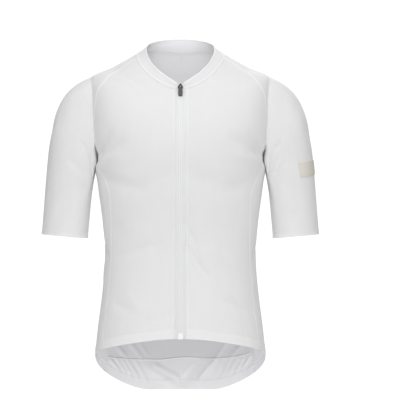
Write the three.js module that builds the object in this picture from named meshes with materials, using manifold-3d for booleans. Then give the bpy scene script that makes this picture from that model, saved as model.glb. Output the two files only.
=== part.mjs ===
// A short-sleeved cycling jersey with a full front zip, in the filled-out shape that it has when it is worn.
// Millimetres, +Z up, the front faces -Y, +X is the wearer's left. The origin lies between the two
// shoulder points at the side of the neck, where the wearer carries the garment.
import * as THREE from 'three';
import { mergeVertices } from 'three/addons/utils/BufferGeometryUtils.js';
import Module from 'manifold-3d';

const wasm = await Module();
wasm.setup();

// Cloth and seams
const CLOTH = 1.5;
const POCKET_CLOTH = 1.2;
const LABEL_CLOTH = 1;
const TAPE = 1;
const CHAIN = 1.8;
const SEAM_GAP = 0.3;
const LAYER_GAP = 0.3;
const MITRE_LIMIT = 6;

// Zip: half widths of the chain and of the gap between the two fronts
const CHAIN_HALF = 1.7;
const CHAIN_RAISE = 0.4;
const TAPE_SINK = 0.2;
const FRONT_EDGE_HALF = 6.8;

// Rings round the body, from the hem up to the neck seam. A ring is an oval in plan with its own height at
// the front, the side and the back. rise and fall are the gains in height for 90 degrees of turn just
// before and behind the side, reach is the share of the back quarter over which the height changes, square
// is the oval's exponent.
const RINGS = [
  { frontY: -118, frontZ: -565.6, sideX: 175, sideY: 0, sideZ: -609,
    backY: 118, backZ: -690.5, rise: -85, fall: -155, reach: 0.68, square: 2.35 },
  { frontY: -114, frontZ: -520, sideX: 168.5, sideY: 0, sideZ: -548,
    backY: 112, backZ: -598, rise: -40, fall: -50, reach: 0.85, square: 2.3 },
  { frontY: -108, frontZ: -460, sideX: 159.5, sideY: 0, sideZ: -476,
    backY: 100, backZ: -505, rise: -20, fall: -20, reach: 1, square: 2.3 },
  { frontY: -105, frontZ: -400, sideX: 154.5, sideY: 0, sideZ: -408,
    backY: 92, backZ: -422, rise: -8, fall: -8, reach: 1, square: 2.3 },
  { frontY: -108, frontZ: -340, sideX: 158.5, sideY: 0, sideZ: -342,
    backY: 95, backZ: -350, rise: 0, fall: 0, reach: 1, square: 2.3 },
  { frontY: -115, frontZ: -284, sideX: 166.5, sideY: 0, sideZ: -280,
    backY: 103, backZ: -284, rise: 0, fall: 0, reach: 1, square: 2.35 },
  { frontY: -122, frontZ: -234, sideX: 174, sideY: 0, sideZ: -220,
    backY: 110, backZ: -222, rise: 0, fall: 0, reach: 1, square: 2.5 },
  { frontY: -126, frontZ: -189, sideX: 180, sideY: 2, sideZ: -152,
    backY: 113, backZ: -165, rise: 0, fall: 0, reach: 1, square: 2.8 },
  { frontY: -121, frontZ: -148, sideX: 184, sideY: 4, sideZ: -90,
    backY: 107, backZ: -108, rise: 0, fall: 0, reach: 1, square: 2.7 },
  { frontY: -109, frontZ: -112, sideX: 184, sideY: 6, sideZ: -38,
    backY: 94, backZ: -56, rise: 12, fall: 12, reach: 1, square: 2.15 },
  { frontY: -97, frontZ: -88, sideX: 137, sideY: 7, sideZ: -16,
    backY: 78, backZ: -20, rise: 28, fall: 28, reach: 1, square: 2.1 },
  { frontY: -84, frontZ: -68.5, sideX: 92, sideY: 5, sideZ: 8,
    backY: 62, backZ: 12, rise: 45, fall: 45, reach: 1, square: 2.15 },
];
const NECK_RING = RINGS.length - 1;
const SHOULDER_RING = 9;

// The collar's top edge. lead is its gain in height for 90 degrees of turn at the zip, which opens it in a V.
const COLLAR_TOP = {
  frontY: -84, frontZ: -59.5, sideX: 70, sideY: 2, sideZ: 22, backY: 52, backZ: 43.5,
  rise: 57, fall: 60, reach: 1, square: 2.1, lead: 80,
};
const COLLAR_ROLL = -2;
const COLLAR_ROWS = 3;

// The armhole, as a rounded outline in turn (degrees) and ring number about its middle
const ARMHOLE = { turn: 90, ring: 7.49, halfTurn: 17, halfRing: 1.51, square: 2.8 };
const RAGLAN_MEETS = 94;
const SIDE_SEAM_MEETS = 140;

// Seam lines as turn in degrees at a ring number
const FRONT_SIDE_SEAM = [
  { ring: 0, turn: 69.9 }, { ring: 1, turn: 70 }, { ring: 2, turn: 70.3 }, { ring: 3, turn: 69.6 },
  { ring: 4, turn: 67.2 }, { ring: 4.6, turn: 65 }, { ring: 5.1, turn: 64 }, { ring: 5.5, turn: 67.6 },
  { ring: 5.85, turn: 72.6 },
];
const BACK_SIDE_SEAM = [
  { ring: 0, turn: 112.5 }, { ring: 2, turn: 111 }, { ring: 3.5, turn: 111.5 },
  { ring: 4.6, turn: 115 }, { ring: 5.1, turn: 116 }, { ring: 5.5, turn: 112.4 }, { ring: 5.85, turn: 107.4 },
];
const RAGLAN_SEAM = [
  { ring: 7.63, turn: 69.2 }, { ring: 8.06, turn: 69.8 }, { ring: 8.37, turn: 69 }, { ring: 8.7, turn: 67.6 },
  { ring: 9.11, turn: 66.9 }, { ring: 9.75, turn: 71.4 }, { ring: 10.35, turn: 74.5 }, { ring: 11, turn: 77 },
];

// Rows of the cloth from the hem to the armhole, as ring numbers at the front and side and at mid back.
// The second row is the top of the hem gripper, the third and the eighth bound the pocket panel.
const BODY_ROWS = [
  { side: 0, back: 0 }, { side: 0.17, back: 0.215 }, { side: 0.3, back: 0.69 }, { side: 0.8, back: 1.0 },
  { side: 1.2, back: 1.35 }, { side: 1.6, back: 1.7 }, { side: 2.0, back: 2.1 }, { side: 2.3, back: 2.45 },
  { side: 2.8, back: 2.85 }, { side: 3.25, back: 3.25 }, { side: 3.7, back: 3.7 }, { side: 4.15, back: 4.15 },
  { side: 4.6, back: 4.6 }, { side: 5.1, back: 5.1 }, { side: 5.5, back: 5.5 }, { side: 5.82, back: 5.82 },
];
const GRIPPER_ROW = 1;
const POCKET_ROWS = [2, 7];
const PIT_STEPS = 2;
const PIT_DIP = 0.12;
const TAIL_STEPS = 3;
const RAGLAN_STEPS = 7;
const YOKE_ROWS = [9.5, 10, 10.5, 11];
const FRONT_COLUMNS = 12;
const SIDE_COLUMNS = 2 * PIT_STEPS;
const YOKE_COLUMNS = 3;
const BACK_COLUMNS = 22;

// Sleeve: the cuff is an oval at right angles to the arm, which leans outward
const CUFF = { x: 237, y: 0, z: -364, halfAcross: 47.4, halfDepth: 50 };
const ARM_LEAN = 5;
const ARMHOLE_MIDDLE = { y: 4, z: -130, halfY: 62, halfZ: 91 };
const SLEEVE_ROWS = 12;
const START_HANDLE = 0.29;
const END_HANDLE = 0.6;
// Direction in which the sleeve leaves the armhole: the gains apply in full on top and are reversed below
const SLEEVE_START = { across: 0.56, acrossGain: 0.38, forward: 0.12, down: 0.66, downGain: 0.32 };

// Soft folds of the body: from and to are turn (degrees) and height, size is the half width, depth is
// negative for a trough
const BODY_FOLDS = [
  { from: [48, -176], to: [78, -208], size: 15, depth: -4.5 },
  { from: [52, -204], to: [80, -226], size: 12, depth: 3.5 },
  { from: [-50, -180], to: [-79, -210], size: 15, depth: -4 },
  { from: [-54, -208], to: [-81, -228], size: 12, depth: 3 },
  { from: [16, -246], to: [46, -266], size: 19, depth: -4 },
  { from: [48, -266], to: [68, -240], size: 15, depth: -2.5 },
  { from: [-15, -242], to: [-38, -262], size: 19, depth: -3.5 },
  { from: [-42, -264], to: [-66, -248], size: 16, depth: -3 },
  { from: [7, -345], to: [22, -385], size: 13, depth: -3 },
  { from: [8, -395], to: [24, -432], size: 14, depth: -3.5 },
  { from: [-10, -352], to: [-26, -396], size: 14, depth: -2.2 },
  { from: [-46, -520], to: [-63, -492], size: 10, depth: -2.5 },
  { from: [50, -492], to: [65, -514], size: 10, depth: -2.5 },
  { from: [-12, -520], to: [-30, -532], size: 13, depth: -2 },
  { from: [128, -190], to: [104, -228], size: 15, depth: -4 },
  { from: [-126, -196], to: [-103, -230], size: 15, depth: -4.5 },
  { from: [158, -330], to: [122, -366], size: 18, depth: -4 },
  { from: [-160, -352], to: [-124, -392], size: 20, depth: -4.5 },
  { from: [164, -398], to: [128, -420], size: 15, depth: 2.5 },
  { from: [168, -120], to: [136, -158], size: 22, depth: -3 },
  { from: [-166, -128], to: [-134, -160], size: 20, depth: -3 },
  { from: [167, -640], to: [176, -676], size: 9, depth: 3 },
  { from: [-150, -646], to: [-172, -680], size: 10, depth: -3 },
  { from: [152, -636], to: [160, -676], size: 9, depth: -2.5 },
  { from: [78, -27], to: [104, -27], size: 8, depth: -5 },
  { from: [-78, -27], to: [-104, -27], size: 8, depth: -5 },
];

// Soft folds of a sleeve: from and to are the angle round the arm (0 on top, 90 in front) and the share of
// the way to the cuff
const LEFT_SLEEVE_FOLDS = [
  { from: [128, 0.3], to: [70, 0.62], size: 13, depth: -2.5 },
  { from: [120, 0.52], to: [78, 0.8], size: 12, depth: -2 },
  { from: [60, 0.08], to: [40, 0.3], size: 16, depth: -3 },
  { from: [-120, 0.3], to: [-64, 0.55], size: 14, depth: -4 },
  { from: [-60, 0.1], to: [-36, 0.34], size: 16, depth: -3 },
];
const RIGHT_SLEEVE_FOLDS = [
  { from: [140, 0.32], to: [96, 0.5], size: 11, depth: -2.2 },
  { from: [124, 0.6], to: [80, 0.86], size: 12, depth: -1.8 },
  { from: [62, 0.1], to: [44, 0.34], size: 16, depth: -3 },
  { from: [-124, 0.34], to: [-70, 0.58], size: 14, depth: -4 },
  { from: [-58, 0.12], to: [-38, 0.3], size: 16, depth: -3 },
];

// Label on the wearer's left sleeve: its columns are columns of the sleeve, counted from the top one towards
// the front, and its upper and lower edges are heights that fall from the outer end to the inner one
const LABEL = { columns: 6, outerTop: -208, innerTop: -215, outerBottom: -237, innerBottom: -245 };

// Zip slider, pull tab and bottom box
const PIN = { y: -89.8, z: -63.2, radius: 0.8, ahead: 5.2 };
const SLIDER = {
  halfWidth: 5.2, neckHalf: 3.6, crownHalf: 2.3, crown: 5, above: 7, foot: 1.2, below: 5.5, thickness: 2.6,
};
const EAR = { halfInner: 2.5, thickness: 1.4, radius: 2.1 };
const TAB = {
  halfWidth: 4.2, neckHalf: 2.1, neck: 3.4, shoulder: 2.4, length: 20.2, corner: 2.2, thickness: 1.8,
  eye: 2, clearance: 0.3, tilt: 17,
};
const BOX = { halfWidth: 4.8, height: 12, thickness: 2.4, below: 1, corner: 1.2, tilt: 5 };

const CLOTH_WHITE = { color: 0xedeef1, roughness: 0.85, metalness: 0 };
const MESH_WHITE = { color: 0xe4e5e9, roughness: 0.88, metalness: 0 };
const ELASTIC_WHITE = { color: 0xe6e6ea, roughness: 0.8, metalness: 0 };
const ZIP_WHITE = { color: 0xf2f2f3, roughness: 0.5, metalness: 0 };
const LABEL_BEIGE = { color: 0xcbb9a0, roughness: 0.8, metalness: 0 };
const SLIDER_BLACK = { color: 0x2c2c2e, roughness: 0.38, metalness: 0.4 };

// Mean sizes, which turn the angles of the fold tables into lengths
const BODY_RADIUS = 145;
const BODY_HALF_WIDTH = 170;
const BODY_HALF_DEPTH = 115;
const SLEEVE_RADIUS = 50;
const SLEEVE_LENGTH = 260;

const radians = THREE.MathUtils.degToRad;
const mix = THREE.MathUtils.lerp;
const signedPower = (value, power) => Math.sign(value) * Math.abs(value) ** power;

// A cubic from 0 to 1 that starts and ends with the given slopes
function ease(share, startSlope, endSlope) {
  const square = share * share;
  const cube = square * share;
  return (cube - 2 * square + share) * startSlope + 3 * square - 2 * cube + (cube - square) * endSlope;
}

// Catmull-Rom between the values of one column at whole ring numbers
function ringValue(column, ring) {
  const low = THREE.MathUtils.clamp(Math.floor(ring), 0, NECK_RING - 1);
  const share = ring - low;
  const at = (index) => {
    if (index < 0) return 2 * RINGS[0][column] - RINGS[1][column];
    if (index > NECK_RING) return 2 * RINGS[NECK_RING][column] - RINGS[NECK_RING - 1][column];
    return RINGS[index][column];
  };
  const [before, start, end, after] = [at(low - 1), at(low), at(low + 1), at(low + 2)];
  const slopes = 2 * before - 5 * start + 4 * end - after + share * (3 * (start - end) + after - before);
  return start + 0.5 * share * (end - before + share * slopes);
}

function ringAt(ring) {
  return Object.fromEntries(Object.keys(RINGS[0]).map((column) => [column, ringValue(column, ring)]));
}

// The point of an oval ring at a turn in degrees: 0 is mid front, 90 the left side, 180 mid back
function ovalPoint(oval, turn) {
  const size = Math.abs(turn);
  const sine = Math.sin(radians(size));
  const cosine = Math.cos(radians(size));
  const atFront = size < 90;
  const depth = atFront ? oval.sideY - oval.frontY : oval.backY - oval.sideY;
  const spread = (sine / oval.sideX) ** oval.square + Math.abs(cosine / depth) ** oval.square;
  const radius = spread ** (-1 / oval.square);
  let z;
  if (atFront) {
    const height = oval.sideZ - oval.frontZ;
    z = oval.frontZ + height * ease(size / 90, (oval.lead ?? 0) / height, oval.rise / height);
  } else {
    const share = Math.min(1, (size - 90) / 90 / oval.reach);
    const gain = share * (1 - share) ** 2 * oval.fall * oval.reach;
    z = oval.sideZ + (oval.backZ - oval.sideZ) * ease(share, 0, 0) + gain;
  }
  return new THREE.Vector3(Math.sign(turn) * radius * sine, oval.sideY - radius * cosine, z);
}

// How far the folds of a table raise or sink a place given by its distance across and its height
function foldDepth(folds, across, along, acrossScale, alongScale) {
  let depth = 0;
  for (const fold of folds) {
    const start = [fold.from[0] * acrossScale, fold.from[1] * alongScale];
    const run = [fold.to[0] * acrossScale - start[0], fold.to[1] * alongScale - start[1]];
    const offset = [across * acrossScale - start[0], along * alongScale - start[1]];
    const length = Math.hypot(...run);
    const share = (offset[0] * run[0] + offset[1] * run[1]) / (length * length);
    const aside = (offset[0] * run[1] - offset[1] * run[0]) / length;
    const beyond = Math.max(0, -share, share - 1) * length;
    depth += fold.depth * Math.exp(-((aside / fold.size) ** 2) - (beyond / (1.6 * fold.size)) ** 2);
  }
  return depth;
}

// A point of the body's cloth, folds included, at a turn from -180 to 180
function bodyPoint(turn, ring) {
  const point = ovalPoint(ringAt(ring), turn);
  const outward = new THREE.Vector3(point.x / BODY_HALF_WIDTH, point.y / BODY_HALF_DEPTH, 0).normalize();
  const depth = foldDepth(BODY_FOLDS, turn, point.z, radians(1) * BODY_RADIUS, 1);
  return point.addScaledVector(outward, depth);
}

// The value of a seam line at a ring number, straight between the rows of its table
function seamTurn(table, ring) {
  const next = table.findIndex((row) => row.ring >= ring);
  if (next <= 0) return next < 0 ? table[table.length - 1].turn : table[0].turn;
  const [low, high] = [table[next - 1], table[next]];
  return mix(low.turn, high.turn, (ring - low.ring) / (high.ring - low.ring));
}

// A place on the armhole's outline: angle 0 is its top, 90 its front edge, 180 the armpit
function armholePlace(angle) {
  const power = 2 / ARMHOLE.square;
  return {
    turn: ARMHOLE.turn - ARMHOLE.halfTurn * signedPower(Math.sin(radians(angle)), power),
    ring: ARMHOLE.ring + ARMHOLE.halfRing * signedPower(Math.cos(radians(angle)), power),
  };
}

function spread(from, to, steps) {
  return Array.from({ length: steps + 1 }, (_, index) => mix(from, to, index / steps));
}

const RAGLAN_ANGLES = spread(RAGLAN_MEETS, 0, RAGLAN_STEPS);
const TAIL_ANGLES = spread(SIDE_SEAM_MEETS, RAGLAN_MEETS, TAIL_STEPS);
const PIT_ANGLES = spread(SIDE_SEAM_MEETS, 360 - SIDE_SEAM_MEETS, SIDE_COLUMNS);
const FRONT_ANGLES = [...TAIL_ANGLES, ...RAGLAN_ANGLES.slice(1)];

// Points of the cloth before it is cut apart. Pieces that meet at a seam share their points there, and a
// point's facing is the mean of the faces around it.
const clothPoints = [];
const clothIndex = new Map();

function clothPoint(position, facing = null) {
  const key = position.toArray().map((value) => Math.round(value * 1000)).join(' ');
  if (!clothIndex.has(key)) {
    clothIndex.set(key, clothPoints.length);
    clothPoints.push({ position, facing: new THREE.Vector3() });
  }
  const index = clothIndex.get(key);
  if (facing) clothPoints[index].lean = facing;
  return index;
}

const bodyIndex = (turn, ring) => clothPoint(bodyPoint(turn, ring));

// Faces of a net of rows, from the bottom up, each row running so that the outside is seen
function netFaces(rows) {
  const faces = [];
  for (let row = 0; row + 1 < rows.length; row += 1) {
    for (let column = 0; column + 1 < rows[row].length; column += 1) {
      const [lower, upper] = [rows[row], rows[row + 1]];
      const corners = [lower[column], lower[column + 1], upper[column + 1], upper[column]];
      const face = corners.filter((corner, place) => corner !== corners[(place + 3) % 4]);
      if (face.length > 2) faces.push(face);
    }
  }
  return faces;
}

function faceNormal(face) {
  const [first, second, third] = face.map((index) => clothPoints[index].position);
  const last = clothPoints[face[face.length - 1]].position;
  const diagonalA = face.length === 4 ? third.clone().sub(first) : second.clone().sub(first);
  const diagonalB = face.length === 4 ? last.clone().sub(second) : third.clone().sub(first);
  return diagonalA.cross(diagonalB);
}

// Sets each point's facing from the faces around it. Where the cloth folds back on itself at the armpit
// these nearly cancel, and the point's own lean takes over.
function faceOutward(faces) {
  const area = new Map();
  for (const face of faces) {
    const normal = faceNormal(face);
    for (const index of face) {
      clothPoints[index].facing.add(normal);
      area.set(index, (area.get(index) ?? 0) + normal.length());
    }
  }
  for (const [index, total] of area) {
    const { facing, lean } = clothPoints[index];
    if (lean) facing.divideScalar(total).add(lean);
    facing.normalize();
  }
}

const pieces = [];
function addPiece(name, faces, finish, { thickness = CLOTH, lift = 0 } = {}) {
  pieces.push({ name, faces, finish, thickness, lift });
}

// Rows of points for one side: turns are given for the left and mirrored for the right
function sideRow(side, turns, rings) {
  const row = turns.map((turn, place) => bodyIndex(side * turn, rings[place]));
  return side > 0 ? row : row.reverse();
}

function evenRow(side, from, to, columns, ring) {
  return sideRow(side, spread(from, to, columns), Array(columns + 1).fill(ring));
}

// The turn at which a ring is a given distance from the middle of the front
function frontEdgeTurn(ring, half) {
  const depth = ringValue('sideY', ring) - ringValue('frontY', ring);
  return THREE.MathUtils.radToDeg(Math.asin(half / depth));
}

// Ring number of a body row at a turn: it changes from its side value to its back value behind the side
function rowRing(row, turn) {
  return mix(row.side, row.back, turn <= 90 ? 0 : ease((turn - 90) / 90, 0, 0));
}

function rowOnSeam(row, table) {
  const turn = seamTurn(table, row.side);
  const ring = rowRing(row, turn);
  return { turn: seamTurn(table, ring), ring };
}

// The upper outline of a front: armhole edge, then raglan seam
function frontUpperPlaces() {
  const tail = TAIL_ANGLES.map(armholePlace);
  const rings = [...RAGLAN_ANGLES.slice(1).map((angle) => armholePlace(angle).ring), ...YOKE_ROWS];
  return [...tail, ...rings.map((ring) => ({ turn: seamTurn(RAGLAN_SEAM, ring), ring }))];
}

function frontPlaces() {
  const lower = BODY_ROWS.map((row) => ({ turn: seamTurn(FRONT_SIDE_SEAM, row.side), ring: row.side }));
  return [...lower, ...frontUpperPlaces()];
}

function addFront(side, name) {
  const rows = frontPlaces().map(({ turn, ring }) =>
    evenRow(side, frontEdgeTurn(ring, FRONT_EDGE_HALF), turn, FRONT_COLUMNS, ring));
  addPiece(name, netFaces(rows), CLOTH_WHITE);
}

// The side panel runs from the hem to the armpit, and its top follows the bottom of the armhole
function addSidePanel(side, name) {
  const shares = spread(0, 1, SIDE_COLUMNS);
  const rows = BODY_ROWS.map((row) => {
    const front = { turn: seamTurn(FRONT_SIDE_SEAM, row.side), ring: row.side };
    const back = rowOnSeam(row, BACK_SIDE_SEAM);
    const dip = row === BODY_ROWS[BODY_ROWS.length - 1] ? PIT_DIP : 0;
    const rings = shares.map((share) => mix(front.ring, back.ring, share) - dip * Math.sin(Math.PI * share));
    return sideRow(side, shares.map((share) => mix(front.turn, back.turn, share)), rings);
  });
  const top = PIT_ANGLES.map(armholePlace);
  rows.push(sideRow(side, top.map(({ turn }) => turn), top.map(({ ring }) => ring)));
  addPiece(name, netFaces(rows), MESH_WHITE);
}

const signedTurn = (turn) => (turn > 180 ? turn - 360 : turn);

// One row across the whole back, from the right edge to the left one
function backRow(edgeTurn, ring) {
  return spread(edgeTurn, 360 - edgeTurn, BACK_COLUMNS).map((turn) => bodyIndex(signedTurn(turn), ring));
}

function backBodyRow(row) {
  const edge = rowOnSeam(row, BACK_SIDE_SEAM);
  const turns = spread(edge.turn, 360 - edge.turn, BACK_COLUMNS);
  return turns.map((turn) => {
    const size = Math.min(turn, 360 - turn);
    const share = (size - edge.turn) / (180 - edge.turn);
    const ring = share < 1e-6 ? edge.ring : rowRing(row, size);
    return bodyIndex(signedTurn(turn), ring);
  });
}

// The back reaches over both shoulders to the raglan seams, and a narrow tail of it runs down in front
// of each armhole
function addBack() {
  const bodyRows = BODY_ROWS.slice(GRIPPER_ROW).map(backBodyRow);
  const armholeRows = FRONT_ANGLES.map((angle) => {
    const place = armholePlace(360 - angle);
    return backRow(place.turn, place.ring);
  });
  const shoulder = armholeRows[armholeRows.length - 1];
  const flank = (side, ring) => evenRow(side, 90, seamTurn(RAGLAN_SEAM, ring), YOKE_COLUMNS, ring);
  const yokeRows = YOKE_ROWS.map((ring) => {
    const left = flank(1, ring).reverse();
    const right = flank(-1, ring).reverse();
    return [...left, ...backRow(90, ring).slice(1, -1), ...right];
  });
  const leftFlank = flank(1, SHOULDER_RING).reverse();
  const shoulderRow = [...leftFlank, ...shoulder.slice(1, -1), ...flank(-1, SHOULDER_RING).reverse()];
  const faces = [...netFaces([...bodyRows, ...armholeRows]), ...netFaces([shoulderRow, ...yokeRows])];
  for (const side of [1, -1]) {
    const tail = RAGLAN_ANGLES.map((angle, place) => {
      const edge = armholePlace(angle);
      const turn = place === 0 ? edge.turn : seamTurn(RAGLAN_SEAM, edge.ring);
      return evenRow(side, turn, edge.turn, YOKE_COLUMNS, edge.ring);
    });
    faces.push(...netFaces(tail));
  }
  addPiece('back', faces, CLOTH_WHITE);
}

function addHemGripper() {
  addPiece('hem_gripper', netFaces(BODY_ROWS.slice(0, GRIPPER_ROW + 1).map(backBodyRow)), ELASTIC_WHITE);
}

// One panel for the three rear pockets, laid on the back between the side seams
function addRearPockets() {
  const rows = BODY_ROWS.slice(POCKET_ROWS[0], POCKET_ROWS[1] + 1).map(backBodyRow);
  const layer = { thickness: POCKET_CLOTH, lift: LAYER_GAP + POCKET_CLOTH };
  addPiece('rear_pockets', netFaces(rows), CLOTH_WHITE, layer);
}

// The armhole's points in order from the top, down the front and up the back
function armholeLoop(side) {
  const before = FRONT_ANGLES.slice().reverse();
  const behind = FRONT_ANGLES.slice(0, -1).map((angle) => 360 - angle);
  return [...before, ...PIT_ANGLES.slice(1, -1), ...behind].map((angle) => {
    const { turn, ring } = armholePlace(angle);
    return bodyPoint(side * turn, ring);
  });
}

// Angle round the arm of a point of the armhole, 0 on top, 90 in front, 180 in the armpit
function armAngle(point) {
  const across = (ARMHOLE_MIDDLE.y - point.y) / ARMHOLE_MIDDLE.halfY;
  return Math.atan2(across, (point.z - ARMHOLE_MIDDLE.z) / ARMHOLE_MIDDLE.halfZ);
}

// A point of a sleeve: a curve from the armhole to the cuff, which starts outward and ends along the arm
function sleevePoint(side, start, angle, along) {
  const lean = radians(ARM_LEAN);
  const [sine, cosine] = [Math.sin(angle), Math.cos(angle)];
  const end = new THREE.Vector3(
    side * (CUFF.x + CUFF.halfAcross * cosine * Math.cos(lean)),
    CUFF.y - CUFF.halfDepth * sine,
    CUFF.z + CUFF.halfAcross * cosine * Math.sin(lean),
  );
  const chord = end.distanceTo(start);
  const outward = new THREE.Vector3(
    side * (SLEEVE_START.across + SLEEVE_START.acrossGain * cosine),
    -SLEEVE_START.forward * sine,
    SLEEVE_START.downGain * cosine - SLEEVE_START.down,
  ).normalize();
  const upArm = new THREE.Vector3(-side * Math.sin(lean), 0, Math.cos(lean));
  const curve = new THREE.CubicBezierCurve3(
    start,
    start.clone().addScaledVector(outward, START_HANDLE * chord),
    end.clone().addScaledVector(upArm, END_HANDLE * chord),
    end,
  );
  const point = curve.getPoint(along);
  const middle = new THREE.Vector3(side * mix(208, CUFF.x, along), 0, point.z);
  const away = point.clone().sub(middle).normalize();
  const folds = side > 0 ? LEFT_SLEEVE_FOLDS : RIGHT_SLEEVE_FOLDS;
  const degrees = THREE.MathUtils.radToDeg(angle);
  const depth = foldDepth(folds, degrees, along, radians(1) * SLEEVE_RADIUS, SLEEVE_LENGTH);
  return point.addScaledVector(away, depth * Math.min(1, along * 6));
}

function addSleeve(side, name) {
  const loop = armholeLoop(side);
  const rows = spread(0, 1, SLEEVE_ROWS).map((along) => {
    const row = loop.map((start) => {
      if (along > 0) return clothPoint(sleevePoint(side, start, armAngle(start), along));
      const radial = new THREE.Vector3(0, start.y - ARMHOLE_MIDDLE.y, start.z - ARMHOLE_MIDDLE.z).normalize();
      return clothPoint(start, radial);
    });
    row.push(row[0]);
    return side > 0 ? row : row.reverse();
  });
  addPiece(name, netFaces(rows), CLOTH_WHITE);
}

// The collar stands on the neck seam and, away from the zip, curves inward a little between its edges
function collarPoint(turn, share) {
  const base = bodyPoint(turn, NECK_RING);
  const top = ovalPoint(COLLAR_TOP, turn);
  const outward = new THREE.Vector3(base.x, base.y, 0).normalize();
  const roll = COLLAR_ROLL * Math.sin(Math.PI * share) * Math.abs(Math.sin(radians(turn / 2)));
  return base.lerp(top, share).addScaledVector(outward, roll);
}

function neckTurns(from) {
  const raglan = seamTurn(RAGLAN_SEAM, NECK_RING);
  const front = spread(from, raglan, FRONT_COLUMNS);
  const yoke = spread(raglan, 90, YOKE_COLUMNS).slice(1);
  const back = spread(90, 270, BACK_COLUMNS).slice(1);
  const half = [...front, ...yoke];
  return [...half, ...back.slice(0, -1), ...half.map((turn) => 360 - turn).reverse()];
}

function addCollar() {
  const start = frontEdgeTurn(NECK_RING, FRONT_EDGE_HALF);
  const rows = spread(0, 1, COLLAR_ROWS).map((share) =>
    neckTurns(start).map((turn) => clothPoint(collarPoint(signedTurn(turn), share))));
  addPiece('collar', netFaces(rows), CLOTH_WHITE);
}

// Points of the zip at a fixed distance from the middle, from the hem to the top of the collar
function zipColumn(half) {
  const sign = Math.sign(half);
  const body = frontPlaces().map(({ ring }) => bodyPoint(sign * frontEdgeTurn(ring, Math.abs(half)), ring));
  const turn = sign * frontEdgeTurn(NECK_RING, Math.abs(half));
  const collar = spread(0, 1, COLLAR_ROWS).slice(1).map((share) => collarPoint(turn, share));
  return [...body, ...collar];
}

function addZipStrip(name, from, to, layer) {
  const [left, right] = [zipColumn(from), zipColumn(to)];
  const rows = left.map((point, place) => [clothPoint(point), clothPoint(right[place])]);
  addPiece(name, netFaces(rows), ZIP_WHITE, layer);
}

// The place at a height on one lengthwise column of the left sleeve's net
function sleeveAtHeight(start, height) {
  const angle = armAngle(start);
  const column = spread(0, 1, SLEEVE_ROWS).map((along) => sleevePoint(1, start, angle, along));
  const below = column.findIndex((point) => point.z <= height);
  const share = (height - column[below - 1].z) / (column[below].z - column[below - 1].z);
  return column[below - 1].clone().lerp(column[below], share);
}

function addLabel() {
  const starts = armholeLoop(1).slice(0, LABEL.columns + 1).reverse();
  const rows = [0, 0.5, 1].map((up) => starts.map((start, place) => {
    const outer = place / LABEL.columns;
    const top = mix(LABEL.innerTop, LABEL.outerTop, outer);
    const bottom = mix(LABEL.innerBottom, LABEL.outerBottom, outer);
    return clothPoint(sleeveAtHeight(start, mix(bottom, top, up)));
  }));
  const layer = { thickness: LABEL_CLOTH, lift: LAYER_GAP + LABEL_CLOTH };
  addPiece('sleeve_label', netFaces(rows), LABEL_BEIGE, layer);
}

// Turns a piece into a closed wall: the outer and inner faces and a rim along every open edge
function wallGeometry({ faces, thickness, lift }) {
  const used = [...new Set(faces.flat())];
  const local = new Map(used.map((index, place) => [index, place]));
  const edges = new Map();
  for (const face of faces) {
    face.forEach((start, place) => {
      const end = face[(place + 1) % face.length];
      const back = `${end} ${start}`;
      if (edges.has(back)) edges.delete(back);
      else edges.set(`${start} ${end}`, [start, end]);
    });
  }
  const inwards = new Map();
  for (const [start, end] of edges.values()) {
    const run = clothPoints[end].position.clone().sub(clothPoints[start].position).normalize();
    for (const index of [start, end]) {
      const inward = clothPoints[index].facing.clone().cross(run).normalize();
      inwards.set(index, [...(inwards.get(index) ?? []), inward]);
    }
  }
  const positions = [];
  const shifted = (index, height) => {
    const { position, facing } = clothPoints[index];
    const point = position.clone().addScaledVector(facing, height);
    const around = inwards.get(index);
    if (around) {
      const [first, second] = around;
      const spreadOut = Math.max(0.02, 1 + first.dot(second));
      const shift = first.clone().add(second).multiplyScalar(0.5 * SEAM_GAP / spreadOut);
      point.add(shift.clampLength(0, MITRE_LIMIT));
    }
    return point;
  };
  for (const height of [lift, lift - thickness]) {
    for (const index of used) positions.push(...shifted(index, height).toArray());
  }
  const triangles = [];
  const inner = used.length;
  const distance = (first, second) => clothPoints[first].position.distanceTo(clothPoints[second].position);
  for (const face of faces) {
    const turned = face.length === 4 && distance(face[1], face[3]) < distance(face[0], face[2]);
    const corners = turned ? [...face.slice(1), face[0]] : face;
    for (let corner = 1; corner + 1 < corners.length; corner += 1) {
      const ends = [corners[0], corners[corner], corners[corner + 1]];
      const [first, second, third] = ends.map((index) => local.get(index));
      triangles.push(first, second, third, inner + first, inner + third, inner + second);
    }
  }
  for (const [start, end] of edges.values()) {
    const [first, second] = [local.get(start), local.get(end)];
    if (start < end) triangles.push(second, first, inner + first, second, inner + first, inner + second);
    else triangles.push(second, first, inner + second, first, inner + first, inner + second);
  }
  const geometry = new THREE.BufferGeometry();
  geometry.setAttribute('position', new THREE.BufferAttribute(new Float32Array(positions), 3));
  geometry.setIndex(triangles);
  geometry.computeVertexNormals();
  return geometry;
}

function finished(name, geometry, finish) {
  const mesh = new THREE.Mesh(geometry, new THREE.MeshStandardMaterial(finish));
  mesh.name = name;
  return mesh;
}

// Booleans for the small hard pieces
function toSolid(geometry, matrix = new THREE.Matrix4()) {
  const bare = geometry.clone().applyMatrix4(matrix);
  bare.deleteAttribute('normal');
  bare.deleteAttribute('uv');
  const welded = mergeVertices(bare, 1e-4);
  return new wasm.Manifold(new wasm.Mesh({
    numProp: 3,
    vertProperties: new Float32Array(welded.attributes.position.array),
    triVerts: new Uint32Array(welded.index.array),
  }));
}

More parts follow.
